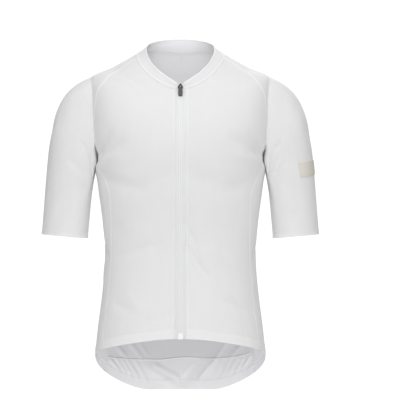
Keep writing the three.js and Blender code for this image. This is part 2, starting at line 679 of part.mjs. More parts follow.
function fromSolid(solid) {
  const { vertProperties, triVerts } = solid.getMesh();
  const geometry = new THREE.BufferGeometry();
  geometry.setAttribute('position', new THREE.BufferAttribute(vertProperties, 3));
  geometry.setIndex(new THREE.BufferAttribute(triVerts, 1));
  geometry.computeVertexNormals();
  return geometry;
}

// A flat outline in X and Z, extruded along Y from one depth to another
function plate(shape, fromY, toY) {
  const settings = { depth: toY - fromY, bevelEnabled: false, curveSegments: 8 };
  const geometry = new THREE.ExtrudeGeometry(shape, settings);
  const stand = new THREE.Matrix4().makeRotationX(Math.PI / 2);
  return toSolid(geometry, new THREE.Matrix4().makeTranslation(0, toY, 0).multiply(stand));
}

function rod(radius, halfLength, segments = 16) {
  const geometry = new THREE.CylinderGeometry(radius, radius, 2 * halfLength, segments);
  return toSolid(geometry, new THREE.Matrix4().makeRotationZ(Math.PI / 2));
}

// The slider's shield: a crown with a point above and a narrower foot where the chain closes
function sliderShape() {
  const shape = new THREE.Shape();
  shape.moveTo(-SLIDER.neckHalf, -SLIDER.below);
  shape.lineTo(SLIDER.neckHalf, -SLIDER.below);
  shape.lineTo(SLIDER.halfWidth, -SLIDER.foot);
  shape.lineTo(SLIDER.halfWidth, 0);
  shape.lineTo(SLIDER.crownHalf, SLIDER.crown);
  shape.lineTo(0, SLIDER.above);
  shape.lineTo(-SLIDER.crownHalf, SLIDER.crown);
  shape.lineTo(-SLIDER.halfWidth, 0);
  shape.lineTo(-SLIDER.halfWidth, -SLIDER.foot);
  shape.closePath();
  return shape;
}

// The slider in its own frame: the pin's middle is the origin and the cloth lies behind it
function sliderGeometry() {
  const back = PIN.ahead - LAYER_GAP;
  const shield = plate(sliderShape(), back - SLIDER.thickness, back);
  const earMiddle = EAR.halfInner + 0.5 * EAR.thickness;
  const earWall = new THREE.BoxGeometry(EAR.thickness, back - 0.5, 2 * EAR.radius);
  const ear = (side) => rod(EAR.radius, 0.5 * EAR.thickness).translate([side * earMiddle, 0, 0])
    .add(toSolid(earWall, new THREE.Matrix4().makeTranslation(side * earMiddle, 0.5 * (back - 0.5), 0)));
  const pin = rod(PIN.radius, earMiddle);
  return fromSolid(shield.add(ear(1)).add(ear(-1)).add(pin));
}

function tabShape() {
  const shape = new THREE.Shape();
  const { corner } = TAB;
  shape.moveTo(-TAB.neckHalf, 0);
  shape.lineTo(-TAB.neckHalf, -TAB.neck);
  shape.lineTo(-TAB.halfWidth, -TAB.neck - TAB.shoulder);
  shape.lineTo(-TAB.halfWidth, -TAB.length + corner);
  shape.quadraticCurveTo(-TAB.halfWidth, -TAB.length, -TAB.halfWidth + corner, -TAB.length);
  shape.lineTo(TAB.halfWidth - corner, -TAB.length);
  shape.quadraticCurveTo(TAB.halfWidth, -TAB.length, TAB.halfWidth, -TAB.length + corner);
  shape.lineTo(TAB.halfWidth, -TAB.neck - TAB.shoulder);
  shape.lineTo(TAB.neckHalf, -TAB.neck);
  shape.lineTo(TAB.neckHalf, 0);
  shape.closePath();
  return shape;
}

// The pull tab hangs on the pin by an eye at the end of its neck
function tabGeometry() {
  const half = 0.5 * TAB.thickness;
  const blade = plate(tabShape(), -half, half);
  const eye = rod(TAB.eye, TAB.neckHalf);
  const bore = rod(PIN.radius + TAB.clearance, TAB.neckHalf + 1);
  return fromSolid(blade.add(eye).subtract(bore));
}

// The bottom box: a rounded plate on the lower end of the chain
function boxGeometry() {
  const [half, low, high, corner] = [BOX.halfWidth, -BOX.below, BOX.height - BOX.below, BOX.corner];
  const shape = new THREE.Shape();
  shape.moveTo(-half + corner, low);
  shape.lineTo(half - corner, low);
  shape.quadraticCurveTo(half, low, half, low + corner);
  shape.lineTo(half, high - corner);
  shape.quadraticCurveTo(half, high, half - corner, high);
  shape.lineTo(-half + corner, high);
  shape.quadraticCurveTo(-half, high, -half, high - corner);
  shape.lineTo(-half, low + corner);
  shape.quadraticCurveTo(-half, low, -half + corner, low);
  return fromSolid(plate(shape, -BOX.thickness, 0));
}

const jersey = new THREE.Group();

addFront(1, 'front_left');
addFront(-1, 'front_right');
addBack();
addHemGripper();
addSidePanel(1, 'side_left');
addSidePanel(-1, 'side_right');
addSleeve(1, 'sleeve_left');
addSleeve(-1, 'sleeve_right');
addCollar();
addZipStrip('zip_tape_left', CHAIN_HALF, FRONT_EDGE_HALF, { thickness: TAPE, lift: -TAPE_SINK });
addZipStrip('zip_tape_right', -FRONT_EDGE_HALF, -CHAIN_HALF, { thickness: TAPE, lift: -TAPE_SINK });
addZipStrip('zip_chain', -CHAIN_HALF, CHAIN_HALF, { thickness: CHAIN, lift: CHAIN_RAISE });
faceOutward(pieces.flatMap(({ faces }) => faces));
addRearPockets();
addLabel();
faceOutward(pieces[pieces.length - 1].faces);
for (const piece of pieces) jersey.add(finished(piece.name, wallGeometry(piece), piece.finish));

const slider = new THREE.Group();
slider.add(finished('zip_slider', sliderGeometry(), SLIDER_BLACK));
slider.position.set(0, PIN.y, PIN.z);
const tab = new THREE.Group();
tab.add(finished('zip_pull_tab', tabGeometry(), SLIDER_BLACK));
tab.position.copy(slider.position);
tab.rotation.x = -radians(TAB.tilt);
const bottomBox = new THREE.Group();
bottomBox.add(finished('zip_box', boxGeometry(), ZIP_WHITE));
bottomBox.position.set(0, RINGS[0].frontY - CHAIN_RAISE - LAYER_GAP, RINGS[0].frontZ);
bottomBox.rotation.x = -radians(BOX.tilt);
jersey.add(slider, tab, bottomBox);

export default jersey;
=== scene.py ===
"""A short-sleeved cycling jersey: cloth, seams, stitches and zip on the shared frame.

Sizes are in millimetres in the frame's own axes (+Z up, -Y front, +X the wearer's left) and turn into
metres when a mesh is made.
"""

import logging
import math
from collections.abc import Callable, Sequence
from dataclasses import dataclass
from enum import Enum

import bpy
import numpy as np
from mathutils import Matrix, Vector

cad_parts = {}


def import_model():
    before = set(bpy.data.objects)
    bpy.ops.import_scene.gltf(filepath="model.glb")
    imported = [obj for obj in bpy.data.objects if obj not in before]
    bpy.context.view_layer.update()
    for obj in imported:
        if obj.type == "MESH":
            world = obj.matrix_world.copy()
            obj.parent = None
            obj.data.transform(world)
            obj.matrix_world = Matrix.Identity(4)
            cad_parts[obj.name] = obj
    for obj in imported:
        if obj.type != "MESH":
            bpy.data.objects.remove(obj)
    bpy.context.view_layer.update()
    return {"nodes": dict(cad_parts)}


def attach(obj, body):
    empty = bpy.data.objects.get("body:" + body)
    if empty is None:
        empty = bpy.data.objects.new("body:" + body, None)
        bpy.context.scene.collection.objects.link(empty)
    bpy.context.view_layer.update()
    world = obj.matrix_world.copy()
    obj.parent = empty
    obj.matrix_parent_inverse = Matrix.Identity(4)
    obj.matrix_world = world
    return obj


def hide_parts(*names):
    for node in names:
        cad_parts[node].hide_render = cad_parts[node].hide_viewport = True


log = logging.getLogger("jersey")

MM = 0.001
GARMENT = "garment"
PULL_TAB = "pull_tab"
SIDES = ((1, "left"), (-1, "right"))
Surface = Callable[[np.ndarray, np.ndarray], np.ndarray]


# The form of the worn jersey, as functions of place on the cloth.


@dataclass(frozen=True)
class Fold:
    """A soft fold between two places of the cloth; a negative depth is a trough."""

    start: tuple[float, float]
    end: tuple[float, float]
    size: float
    depth: float


def fold_depth(
    folds: Sequence[Fold], across: np.ndarray, along: np.ndarray, scales: tuple[float, float]
) -> np.ndarray:
    """Adds up how far folds raise or sink the cloth.

    Args:
        folds: the folds' table.
        across: first coordinate of each point, as in the table.
        along: second coordinate of each point.
        scales: what turns the two coordinates into millimetres.

    Returns:
        The rise of each point in millimetres.
    """
    total = np.zeros(np.broadcast(across, along).shape)
    for fold in folds:
        first = np.multiply(fold.start, scales)
        run = np.multiply(fold.end, scales) - first
        length = math.hypot(*run)
        x = across * scales[0] - first[0]
        y = along * scales[1] - first[1]
        share = (x * run[0] + y * run[1]) / length**2
        aside = (x * run[1] - y * run[0]) / length
        beyond = np.maximum(0, np.maximum(-share, share - 1)) * length
        total += fold.depth * np.exp(-((aside / fold.size) ** 2) - (beyond / (1.6 * fold.size)) ** 2)
    return total


def unit(vectors: np.ndarray) -> np.ndarray:
    """The vectors on the last axis at length 1."""
    return vectors / np.maximum(np.linalg.norm(vectors, axis=-1, keepdims=True), 1e-9)


def signed(turn: np.ndarray) -> np.ndarray:
    """Turns past 180 degrees as negative ones."""
    return np.where(turn > 180, turn - 360, turn)


def ease(share: np.ndarray, start: np.ndarray | float = 0.0, end: np.ndarray | float = 0.0) -> np.ndarray:
    """A cubic from 0 to 1 with the given slopes at its ends."""
    square, cube = share**2, share**3
    return (cube - 2 * square + share) * start + 3 * square - 2 * cube + (cube - square) * end


def smooth_line(places: Sequence[tuple[float, float]], at: np.ndarray) -> np.ndarray:
    """A smooth curve through a table of (position, value) rows.

    Args:
        places: rows in rising order of position.
        at: positions to read.

    Returns:
        The values there; they stay level beyond the table.
    """
    x, y = np.array(places, float).T
    slope = np.gradient(y, x)
    at = np.clip(at, x[0], x[-1])
    low = np.clip(np.searchsorted(x, at, side="right") - 1, 0, len(x) - 2)
    width = x[low + 1] - x[low]
    t = (at - x[low]) / width
    bend = (t**3 - 2 * t**2 + t) * slope[low] + (t**3 - t**2) * slope[low + 1]
    return y[low] + (3 * t**2 - 2 * t**3) * (y[low + 1] - y[low]) + bend * width


OVAL_COLUMNS = (
    "front_y", "front_z", "side_x", "side_y", "side_z", "back_y", "back_z", "rise", "fall", "reach", "square",
)


@dataclass(frozen=True)
class BodyForm:
    """Rings round the body, hem first: each tuple holds one value for a ring."""

    front_y: tuple[float, ...] = (-118, -114, -108, -105, -108, -115, -122, -126, -121, -109, -97, -84)
    front_z: tuple[float, ...] = (-565.6, -520, -460, -400, -340, -284, -234, -189, -148, -112, -88, -68.5)
    side_x: tuple[float, ...] = (175, 168.5, 159.5, 154.5, 158.5, 166.5, 174, 180, 184, 184, 137, 92)
    side_y: tuple[float, ...] = (0, 0, 0, 0, 0, 0, 0, 2, 4, 6, 7, 5)
    side_z: tuple[float, ...] = (-609, -548, -476, -408, -342, -280, -220, -152, -90, -38, -16, 8)
    back_y: tuple[float, ...] = (118, 112, 100, 92, 95, 103, 110, 113, 107, 94, 78, 62)
    back_z: tuple[float, ...] = (-690.5, -598, -505, -422, -350, -284, -222, -165, -108, -56, -20, 12)
    rise: tuple[float, ...] = (-85, -40, -20, -8, 0, 0, 0, 0, 0, 12, 28, 45)
    fall: tuple[float, ...] = (-155, -50, -20, -8, 0, 0, 0, 0, 0, 12, 28, 45)
    reach: tuple[float, ...] = (0.68, 0.85, 1, 1, 1, 1, 1, 1, 1, 1, 1, 1)
    square: tuple[float, ...] = (2.35, 2.3, 2.3, 2.3, 2.3, 2.35, 2.5, 2.8, 2.7, 2.15, 2.1, 2.15)
    half_width: float = 170
    half_depth: float = 115
    mean_radius: float = 145
    ring_height: float = 58

    def value(self, column: str, ring: np.ndarray) -> np.ndarray:
        """Catmull-Rom between the values of one column at whole ring numbers."""
        values = np.array(getattr(self, column), float)
        ends = [[2 * values[0] - values[1]], values, [2 * values[-1] - values[-2]]]
        padded = np.concatenate(ends)
        low = np.clip(np.floor(ring).astype(int), 0, len(values) - 2)
        t = ring - low
        a, b, c, d = (padded[low + step] for step in range(4))
        return b + 0.5 * t * (c - a + t * (2 * a - 5 * b + 4 * c - d + t * (3 * (b - c) + d - a)))

    def oval(self, ring: np.ndarray) -> dict[str, np.ndarray]:
        """All columns at ring numbers."""
        return {column: self.value(column, ring) for column in OVAL_COLUMNS}


def oval_points(oval: dict[str, np.ndarray], turn: np.ndarray, lead: float = 0.0) -> np.ndarray:
    """Points of oval rings.

    Args:
        oval: the ring's columns, one value for each point.
        turn: degrees from mid front, 90 at the left side, -90 at the right one.
        lead: gain in height for 90 degrees of turn at mid front.

    Returns:
        The points, in millimetres, on the last axis.
    """
    size = np.abs(turn)
    sine, cosine = np.sin(np.radians(size)), np.cos(np.radians(size))
    front = size < 90
    depth = np.where(front, oval["side_y"] - oval["front_y"], oval["back_y"] - oval["side_y"])
    spread = (sine / oval["side_x"]) ** oval["square"] + np.abs(cosine / depth) ** oval["square"]
    radius = spread ** (-1 / oval["square"])
    height = oval["side_z"] - oval["front_z"]
    front_z = oval["front_z"] + height * ease(np.minimum(size, 90) / 90, lead / height, oval["rise"] / height)
    share = np.clip((size - 90) / 90 / oval["reach"], 0, 1)
    gain = share * (1 - share) ** 2 * oval["fall"] * oval["reach"]
    back_z = oval["side_z"] + (oval["back_z"] - oval["side_z"]) * ease(share) + gain
    x = np.sign(turn) * radius * sine
    return np.stack([x, oval["side_y"] - radius * cosine, np.where(front, front_z, back_z)], axis=-1)


BODY_FOLDS = (
    Fold((48, -176), (78, -208), 15, -4.5),
    Fold((52, -204), (80, -226), 12, 3.5),
    Fold((-50, -180), (-79, -210), 15, -4),
    Fold((-54, -208), (-81, -228), 12, 3),
    Fold((16, -246), (46, -266), 19, -4),
    Fold((48, -266), (68, -240), 15, -2.5),
    Fold((-15, -242), (-38, -262), 19, -3),
    Fold((-42, -264), (-66, -248), 16, -3),
    Fold((7, -345), (22, -385), 13, -3),
    Fold((8, -395), (24, -432), 14, -3.5),
    Fold((-10, -352), (-26, -396), 14, -2.2),
    Fold((-48, -514), (-58, -501), 9, -1.7),
    Fold((50, -492), (65, -514), 10, -2.5),
    Fold((-12, -520), (-30, -532), 13, -2),
    Fold((128, -190), (104, -228), 15, -4),
    Fold((-126, -196), (-103, -230), 15, -4.5),
    Fold((158, -330), (122, -366), 18, -4),
    Fold((-160, -352), (-124, -392), 20, -4.5),
    Fold((164, -398), (128, -420), 15, 2.5),
    Fold((168, -120), (136, -158), 22, -3),
    Fold((-166, -128), (-134, -160), 20, -3),
    Fold((167, -640), (176, -676), 9, 3),
    Fold((-150, -646), (-172, -680), 10, -3),
    Fold((152, -636), (160, -676), 9, -2.5),
    Fold((78, -27), (104, -27), 8, -5),
    Fold((-78, -27), (-104, -27), 8, -5),
)
LEFT_SLEEVE_FOLDS = (
    Fold((128, 0.3), (70, 0.62), 13, -2.5),
    Fold((120, 0.52), (78, 0.8), 12, -2),
    Fold((60, 0.08), (40, 0.3), 16, -3),
    Fold((-120, 0.3), (-64, 0.55), 14, -4),
    Fold((-60, 0.1), (-36, 0.34), 16, -3),
)
RIGHT_SLEEVE_FOLDS = (
    Fold((140, 0.32), (96, 0.5), 11, -2.2),
    Fold((124, 0.6), (80, 0.86), 12, -1.8),
    Fold((62, 0.1), (44, 0.34), 16, -3),
    Fold((-124, 0.34), (-70, 0.58), 14, -4),
    Fold((-58, 0.12), (-38, 0.3), 16, -3),
)


FINE_BODY_FOLDS = (
    Fold((57, -158), (66, -190), 7, -2.2),
    Fold((60, -196), (73, -226), 6, -1.8),
    Fold((-56, -160), (-68, -192), 7, -2.4),
    Fold((-62, -190), (-74, -222), 6, 1.6),
    Fold((9.5, -356), (21, -402), 5.5, -1.7),
    Fold((10, -384), (25, -430), 6, -1.9),
    Fold((14, -352), (27, -392), 6, 1.2),
    Fold((-50, -480), (-40, -503), 7, 0.8),
    Fold((50, -480), (60, -496), 6, 1.5),
    Fold((46, -494), (57, -509), 5, -2),
    Fold((-54, -256), (-68, -246), 14, -1.2),
    Fold((-38, -356), (-54, -330), 16, 1.0),
    Fold((-52, -372), (-62, -344), 14, -0.9),
    Fold((12, -300), (36, -330), 10, 1.2),
    Fold((28, -392), (52, -416), 10, 1.6),
    Fold((-30, -380), (-58, -404), 10, -1.7),
    Fold((104, -258), (122, -290), 9, -2),
    Fold((-106, -262), (-124, -296), 9, -2.2),
    Fold((92, -380), (76, -408), 8, -1.6),
    Fold((-90, -372), (-76, -402), 8, -1.8),
    Fold((-94, -420), (-82, -452), 8, 1.4),
    Fold((150, -250), (172, -268), 16, -2.2),
    Fold((-148, -262), (-170, -272), 15, -2),
    Fold((154, -372), (140, -392), 8, 2),
    Fold((-150, -398), (-136, -418), 8, 2.2),
    Fold((115.5, -616), (122, -640), 3.4, -2.0),
    Fold((121.5, -620), (128, -648), 3.2, -1.8),
    Fold((126.5, -623), (134, -653), 3.6, -1.9),
    Fold((132.5, -626), (139, -657), 3.4, -1.5),
    Fold((140, -630), (146, -660), 4, -1.2),
    Fold((-116, -625), (-122.5, -643), 3.4, -2.1),
    Fold((-121.8, -626), (-128, -648), 3.2, -1.7),
    Fold((-126, -627), (-133, -653), 3.5, -2.0),
    Fold((-130.5, -629), (-138, -658), 3.3, -2.2),
    Fold((-137.5, -632), (-145, -662), 4, -1.4),
    Fold((-155, -640), (-178, -666), 4.5, -3.2),
    Fold((145, -628), (160, -665), 4.5, -2.9),
    Fold((167, -636), (177, -657), 4, -2.4),
    Fold((-122, -600), (-128, -617), 4, -2.6),
    Fold((-133, -596), (-141, -620), 4.2, -2.6),
    Fold((-140, -594), (-147, -616), 4.5, -1.3),
    Fold((124, -598), (130, -614), 4.2, -2.3),
    Fold((136, -594), (143, -618), 4.5, -2.2),
)
FINE_LEFT_FOLDS = (
    Fold((94, 0.27), (82, 0.54), 5.5, -1.6),
    Fold((124, 0.14), (141, 0.25), 4.5, -2.2),
    Fold((150, 0.1), (100, 0.24), 7, -2.2),
    Fold((160, 0.24), (110, 0.4), 6, 1.8),
    Fold((-150, 0.12), (-104, 0.28), 7, -2.2),
    Fold((30, 0.5), (-10, 0.62), 12, -1.2),
    Fold((100, 0.86), (60, 0.94), 6, -1),
)
FINE_RIGHT_FOLDS = (
    Fold((121, 0.17), (142, 0.25), 4.5, -3.2),
    Fold((152, 0.12), (104, 0.22), 7, -2.4),
    Fold((166, 0.26), (120, 0.4), 6, 1.6),
    Fold((-148, 0.1), (-100, 0.24), 7, -2),
    Fold((34, 0.44), (-8, 0.58), 12, -1.4),
    Fold((96, 0.86), (58, 0.94), 6, -1),
)


class Seam(Enum):
    """The long seams of the body, as (ring, turn) rows."""

    FRONT_SIDE = (
        (0, 69.9), (1, 70), (2, 70.3), (3, 69.6), (4, 67.2), (4.6, 65), (5.1, 64), (5.5, 67.6), (5.82, 72.2),
        (6.242, 77.6),
    )
    BACK_SIDE = (
        (0, 112.5), (2, 111), (3.5, 111.5), (4.6, 115), (5.1, 116), (5.5, 112.4), (5.82, 107.9), (6.242, 102.4),
    )
    RAGLAN = (
        (7.264, 73.03), (7.905, 69.6), (8.37, 69), (8.7, 67.6), (9.11, 66.9), (9.75, 71.4), (10.35, 74.5), (11, 77),
    )

    def turn(self, ring: np.ndarray | float) -> np.ndarray:
        """The seam's turn in degrees at ring numbers."""
        return smooth_line(self.value, np.asarray(ring, float))


@dataclass(frozen=True)
class Armhole:
    """The armhole's rounded outline about its middle, in turn and ring number."""

    turn: float = 90
    ring: float = 7.49
    half_turn: float = 17
    half_ring: float = 1.51
    square: float = 2.8
    raglan_meets: float = 94
    side_seam_meets: float = 140

    def place(self, angle: np.ndarray) -> tuple[np.ndarray, np.ndarray]:
        """Turn and ring at an angle: 0 is the top, 90 the front edge, 180 the armpit."""
        sine, cosine = np.sin(np.radians(angle)), np.cos(np.radians(angle))
        power = 2 / self.square
        turn = self.turn - self.half_turn * np.sign(sine) * np.abs(sine) ** power
        return turn, self.ring + self.half_ring * np.sign(cosine) * np.abs(cosine) ** power

    def half_opening(self, ring: np.ndarray) -> np.ndarray:
        """Degrees from the armhole's middle to its edge at ring numbers."""
        height = np.clip(np.abs(ring - self.ring) / self.half_ring, 0, 1)
        return self.half_turn * (1 - height**self.square) ** (1 / self.square)


BODY = BodyForm()
ARMHOLE = Armhole()
NECK_RING = 11.0
SHOULDER_RING = 9.0
ARMPIT_RING = 6.242
RAGLAN_RING = 7.264
FRONT_EDGE_HALF = 6.8
CHAIN_HALF = 1.7


def body_points(turn: np.ndarray, ring: np.ndarray, tucked: bool = True) -> np.ndarray:
    """Points of the body's cloth.

    Args:
        turn: degrees from mid front, past 180 for the right half of the back.
        ring: ring numbers, from 0 at the hem to 11 at the neck.
        tucked: whether the armpits' creases are drawn in.

    Returns:
        The points, in millimetres, on the last axis.
    """
    turn, ring = np.broadcast_arrays(np.asarray(turn, float), np.asarray(ring, float))
    turn = signed(turn)
    points = oval_points(BODY.oval(ring), turn)
    out = unit(points[..., :2] / (BODY.half_width, BODY.half_depth))
    scale = math.radians(1) * BODY.mean_radius
    depth = fold_depth(BODY_FOLDS, turn, points[..., 2], (scale, 1))
    depth += fold_depth(FINE_BODY_FOLDS, turn, points[..., 2], (scale, 1))
    points[..., :2] += out * depth[..., None]
    if tucked:
        points[..., 1] += TUCK.shift(turn, ring)
    return points


@dataclass(frozen=True)
class ArmpitTuck:
    """The deep crease where the sleeve meets the body low in the armhole, before and behind the arm."""

    front_depth: float = 25
    back_depth: float = 10
    size: float = 5.2
    reach: float = 52
    starts: float = -0.5
    full: float = -0.82
    scallop: float = 1.6
    scallop_rings: float = 0.27

    def depth(self, turn: np.ndarray, ring: np.ndarray) -> np.ndarray:
        """Signed depth of the crease's bottom for places near the armhole, positive before the arm."""
        across = (np.abs(turn) - ARMHOLE.turn) / ARMHOLE.half_turn
        up = (ring - ARMHOLE.ring) / ARMHOLE.half_ring
        low = ease(np.clip((up - self.starts) / (self.full - self.starts), 0, 1))
        before = ease(np.clip((-across - 0.1) / 0.5, 0, 1))
        behind = ease(np.clip((across - 0.1) / 0.5, 0, 1))
        return low * (self.front_depth * before - self.back_depth * behind)

    def shift(self, turn: np.ndarray, ring: np.ndarray) -> np.ndarray:
        """How far the body's cloth is drawn in at places round the armhole."""
        across = np.abs(np.abs(turn) - ARMHOLE.turn) / ARMHOLE.half_turn
        up = np.abs(ring - ARMHOLE.ring) / ARMHOLE.half_ring
        level = (across**ARMHOLE.square + up**ARMHOLE.square) ** (1 / ARMHOLE.square)
        wave = self.scallop * np.sin(2 * np.pi * (ring - 6.05) / self.scallop_rings)
        gap = np.maximum(0, (level - 1) * self.reach - wave * np.clip((level - 1) * 20, 0, 1))
        return self.depth(turn, ring) * np.exp(-((gap / self.size) ** 2))


TUCK = ArmpitTuck()


def front_edge_turn(ring: np.ndarray | float, half: float) -> np.ndarray:
    """The turn at which a ring is a given distance from the middle of the front."""
    ring = np.asarray(ring, float)
    depth = BODY.value("side_y", ring) - BODY.value("front_y", ring)
    return np.degrees(np.arcsin(half / depth))


@dataclass(frozen=True)
class SleeveForm:
    """A sleeve: curves from the armhole to an oval cuff at right angles to the arm."""

    cuff_x: float = 237
    cuff_z: float = -364
    half_across: float = 47.4
    half_depth: float = 50
    lean: float = math.radians(5)
    middle_y: float = 4
    middle_z: float = -130
    middle_half_y: float = 62
    middle_half_z: float = 91
    start_handle: float = 0.29
    end_handle: float = 0.6
    core_x: float = 208
    radius: float = 50
    length: float = 260

    def points(self, side: int, angle: np.ndarray, along: np.ndarray) -> np.ndarray:
        """Points of a sleeve.

        Args:
            side: 1 for the wearer's left, -1 for the right.
            angle: place on the armhole in degrees, 0 on top, 90 in front, 180 in the armpit.
            along: share of the way to the cuff.

        Returns:
            The points, in millimetres, on the last axis.
        """
        angle, along = np.broadcast_arrays(np.asarray(angle, float), np.asarray(along, float))
        turn, ring = ARMHOLE.place(angle)
        start = body_points(side * turn, ring, tucked=False)
        across = (self.middle_y - start[..., 1]) / self.middle_half_y
        arm = np.arctan2(across, (start[..., 2] - self.middle_z) / self.middle_half_z)
        sine, cosine = np.sin(arm), np.cos(arm)
        end_x = side * (self.cuff_x + self.half_across * cosine * math.cos(self.lean))
        end_z = self.cuff_z + self.half_across * cosine * math.sin(self.lean)
        end = np.stack([end_x, -self.half_depth * sine, end_z], axis=-1)
        chord = np.linalg.norm(end - start, axis=-1, keepdims=True)
        leave = unit(np.stack([side * (0.56 + 0.38 * cosine), -0.12 * sine, 0.32 * cosine - 0.66], axis=-1))
        up = np.array([-side * math.sin(self.lean), 0, math.cos(self.lean)])
        second = start + leave * self.start_handle * chord
        third = end + up * self.end_handle * chord
        t = along[..., None]
        point = (1 - t) ** 3 * start + 3 * (1 - t) ** 2 * t * second + 3 * (1 - t) * t**2 * third + t**3 * end
        core = side * (self.core_x + (self.cuff_x - self.core_x) * along)
        away = unit(np.stack([point[..., 0] - core, point[..., 1], np.zeros_like(along)], axis=-1))
        scales = (math.radians(1) * self.radius, self.length)
        degrees = np.degrees(arm)
        folds, fine = (LEFT_SLEEVE_FOLDS, FINE_LEFT_FOLDS) if side > 0 else (RIGHT_SLEEVE_FOLDS, FINE_RIGHT_FOLDS)
        depth = fold_depth(folds, degrees, along, scales) + fold_depth(fine, degrees, along, scales)
        point = point + away * (depth * np.minimum(1, along * 6))[..., None]
        run = along * chord[..., 0]
        point[..., 1] += TUCK.depth(turn, ring) * np.exp(-((run / TUCK.size) ** 2))
        return point


@dataclass(frozen=True)
class CollarForm:
    """The stand collar between the neck seam and its own top edge."""

    front_y: float = -84
    front_z: float = -59.5
    side_x: float = 70
    side_y: float = 2
    side_z: float = 22
    back_y: float = 52
    back_z: float = 43.5
    rise: float = 57
    fall: float = 60
    reach: float = 1
    square: float = 2.1
    lead: float = 80
    roll: float = -2

    def points(self, turn: np.ndarray, share: np.ndarray) -> np.ndarray:
        """Points of the collar.

        Args:
            turn: degrees from mid front, past 180 for the right half of the back.
            share: 0 at the neck seam, 1 at the top edge.

        Returns:
            The points, in millimetres, on the last axis.
        """
        turn, share = np.broadcast_arrays(np.asarray(turn, float), np.asarray(share, float))
        turn = signed(turn)
        base = body_points(turn, np.full(turn.shape, NECK_RING))
        edge = {name: np.full(turn.shape, float(getattr(self, name))) for name in OVAL_COLUMNS}
        top = oval_points(edge, turn, self.lead)
        out = unit(base[..., :2])
        roll = self.roll * np.sin(np.pi * share) * np.abs(np.sin(np.radians(turn / 2)))
        points = base + (top - base) * share[..., None]
        points[..., :2] += out * roll[..., None]
        return points


SLEEVE = SleeveForm()
COLLAR = CollarForm()


# Nets of cloth points and the walls made from them.


def clustered(count: int, pull: float = 0.75) -> np.ndarray:
    """Shares from 0 to 1 that lie closer together near both ends.

    Args:
        count: number of steps.
        pull: 0 for even steps, near 1 for the closest ends.

    Returns:
        count + 1 shares.
    """
    even = np.linspace(0, 1, count + 1)
    return even - pull * np.sin(2 * np.pi * even) / (2 * np.pi)


def run_lengths(points: np.ndarray, axis: int) -> np.ndarray:
    """Length along each row (axis 1) or column (axis 0) of a net up to each point."""
    steps = np.linalg.norm(np.diff(points, axis=axis), axis=-1)
    pad = [(0, 0), (0, 0)]
    pad[axis] = (1, 0)
    return np.pad(np.cumsum(steps, axis=axis), pad)


@dataclass(frozen=True)
class Edge:
    """How the cloth behaves along one edge of a net.

    drop is how far the very edge sinks into the seam, over the given width. A hem is a second layer of the
    given height, and its stitches pull a groove in front of its inner end.
    """

    drop: float = 0.0
    width: float = 2.0
    hem: float = 0.0
    hem_raise: float = 0.35
    groove: float = 0.45
    pucker: float = 0.0

    def relief(self, distance: np.ndarray, run: np.ndarray) -> np.ndarray:
        """Rise of points at a distance from the edge and a run along it."""
        rise = -self.drop * np.exp(-((distance / self.width) ** 2))
        if self.hem:
            rise = rise + self.hem_raise / (1 + np.exp((distance - self.hem) / 0.5))
            rise = rise - self.groove * np.exp(-(((distance - self.hem) / 1.3) ** 2))
        if self.pucker:
            wave = np.sin(run / 3.1 + 1.7 * np.sin(run / 23)) + 0.6 * np.sin(run / 5.3 + 0.8)
            rise = rise + self.pucker * wave * np.exp(-((distance / 7) ** 2))
        return rise


@dataclass
class Patch:
    """A net of cloth points, rows from the bottom up and columns so that the outside faces the viewer."""

    points: np.ndarray
    pattern: np.ndarray
    relief: np.ndarray
    doubled: np.ndarray

    @staticmethod
    def of(points: np.ndarray, pattern: np.ndarray, edges: dict[str, Edge] | None = None) -> "Patch":
        """A patch with the relief of its edges, named left, right, bottom and top."""
        across, up = run_lengths(points, 1), run_lengths(points, 0)
        distances = {
            "left": (across, up),
            "right": (across[:, -1:] - across, up),
            "bottom": (up, across),
            "top": (up[-1:] - up, across),
        }
        relief = np.zeros(points.shape[:2])
        doubled = np.zeros(points.shape[:2], bool)
        for name, edge in (edges or {}).items():
            relief += edge.relief(*distances[name])
            doubled |= distances[name][0] < edge.hem
        return Patch(points, pattern, relief, doubled)

    def flipped(self) -> "Patch":
        """The patch with its columns in the other order."""
        return Patch(self.points[:, ::-1], self.pattern[:, ::-1], self.relief[:, ::-1], self.doubled[:, ::-1])

    def track(self, line: tuple, lift: float = 0.0) -> "Track":
        """The line of points that an index picks, at a height over the cloth's relief."""
        normal = unit(np.cross(np.gradient(self.points, axis=1), np.gradient(self.points, axis=0)))
        return Track((self.points + normal * (self.relief + lift)[..., None])[line], normal[line])


def grid_faces(rows: int, columns: int, offset: int) -> np.ndarray:
    """Quads of a net whose points start at an offset."""
    index = offset + np.arange(rows * columns).reshape(rows, columns)
    return np.stack([index[:-1, :-1], index[:-1, 1:], index[1:, 1:], index[1:, :-1]], axis=-1).reshape(-1, 4)


def tube_faces(rows: int, columns: int) -> np.ndarray:
    """Quads between closed rings of points, one ring for each row."""
    index = np.arange(rows * columns).reshape(rows, columns)
    after = np.roll(index, -1, axis=1)
    return np.stack([index[:-1], after[:-1], after[1:], index[1:]], axis=-1).reshape(-1, 4)


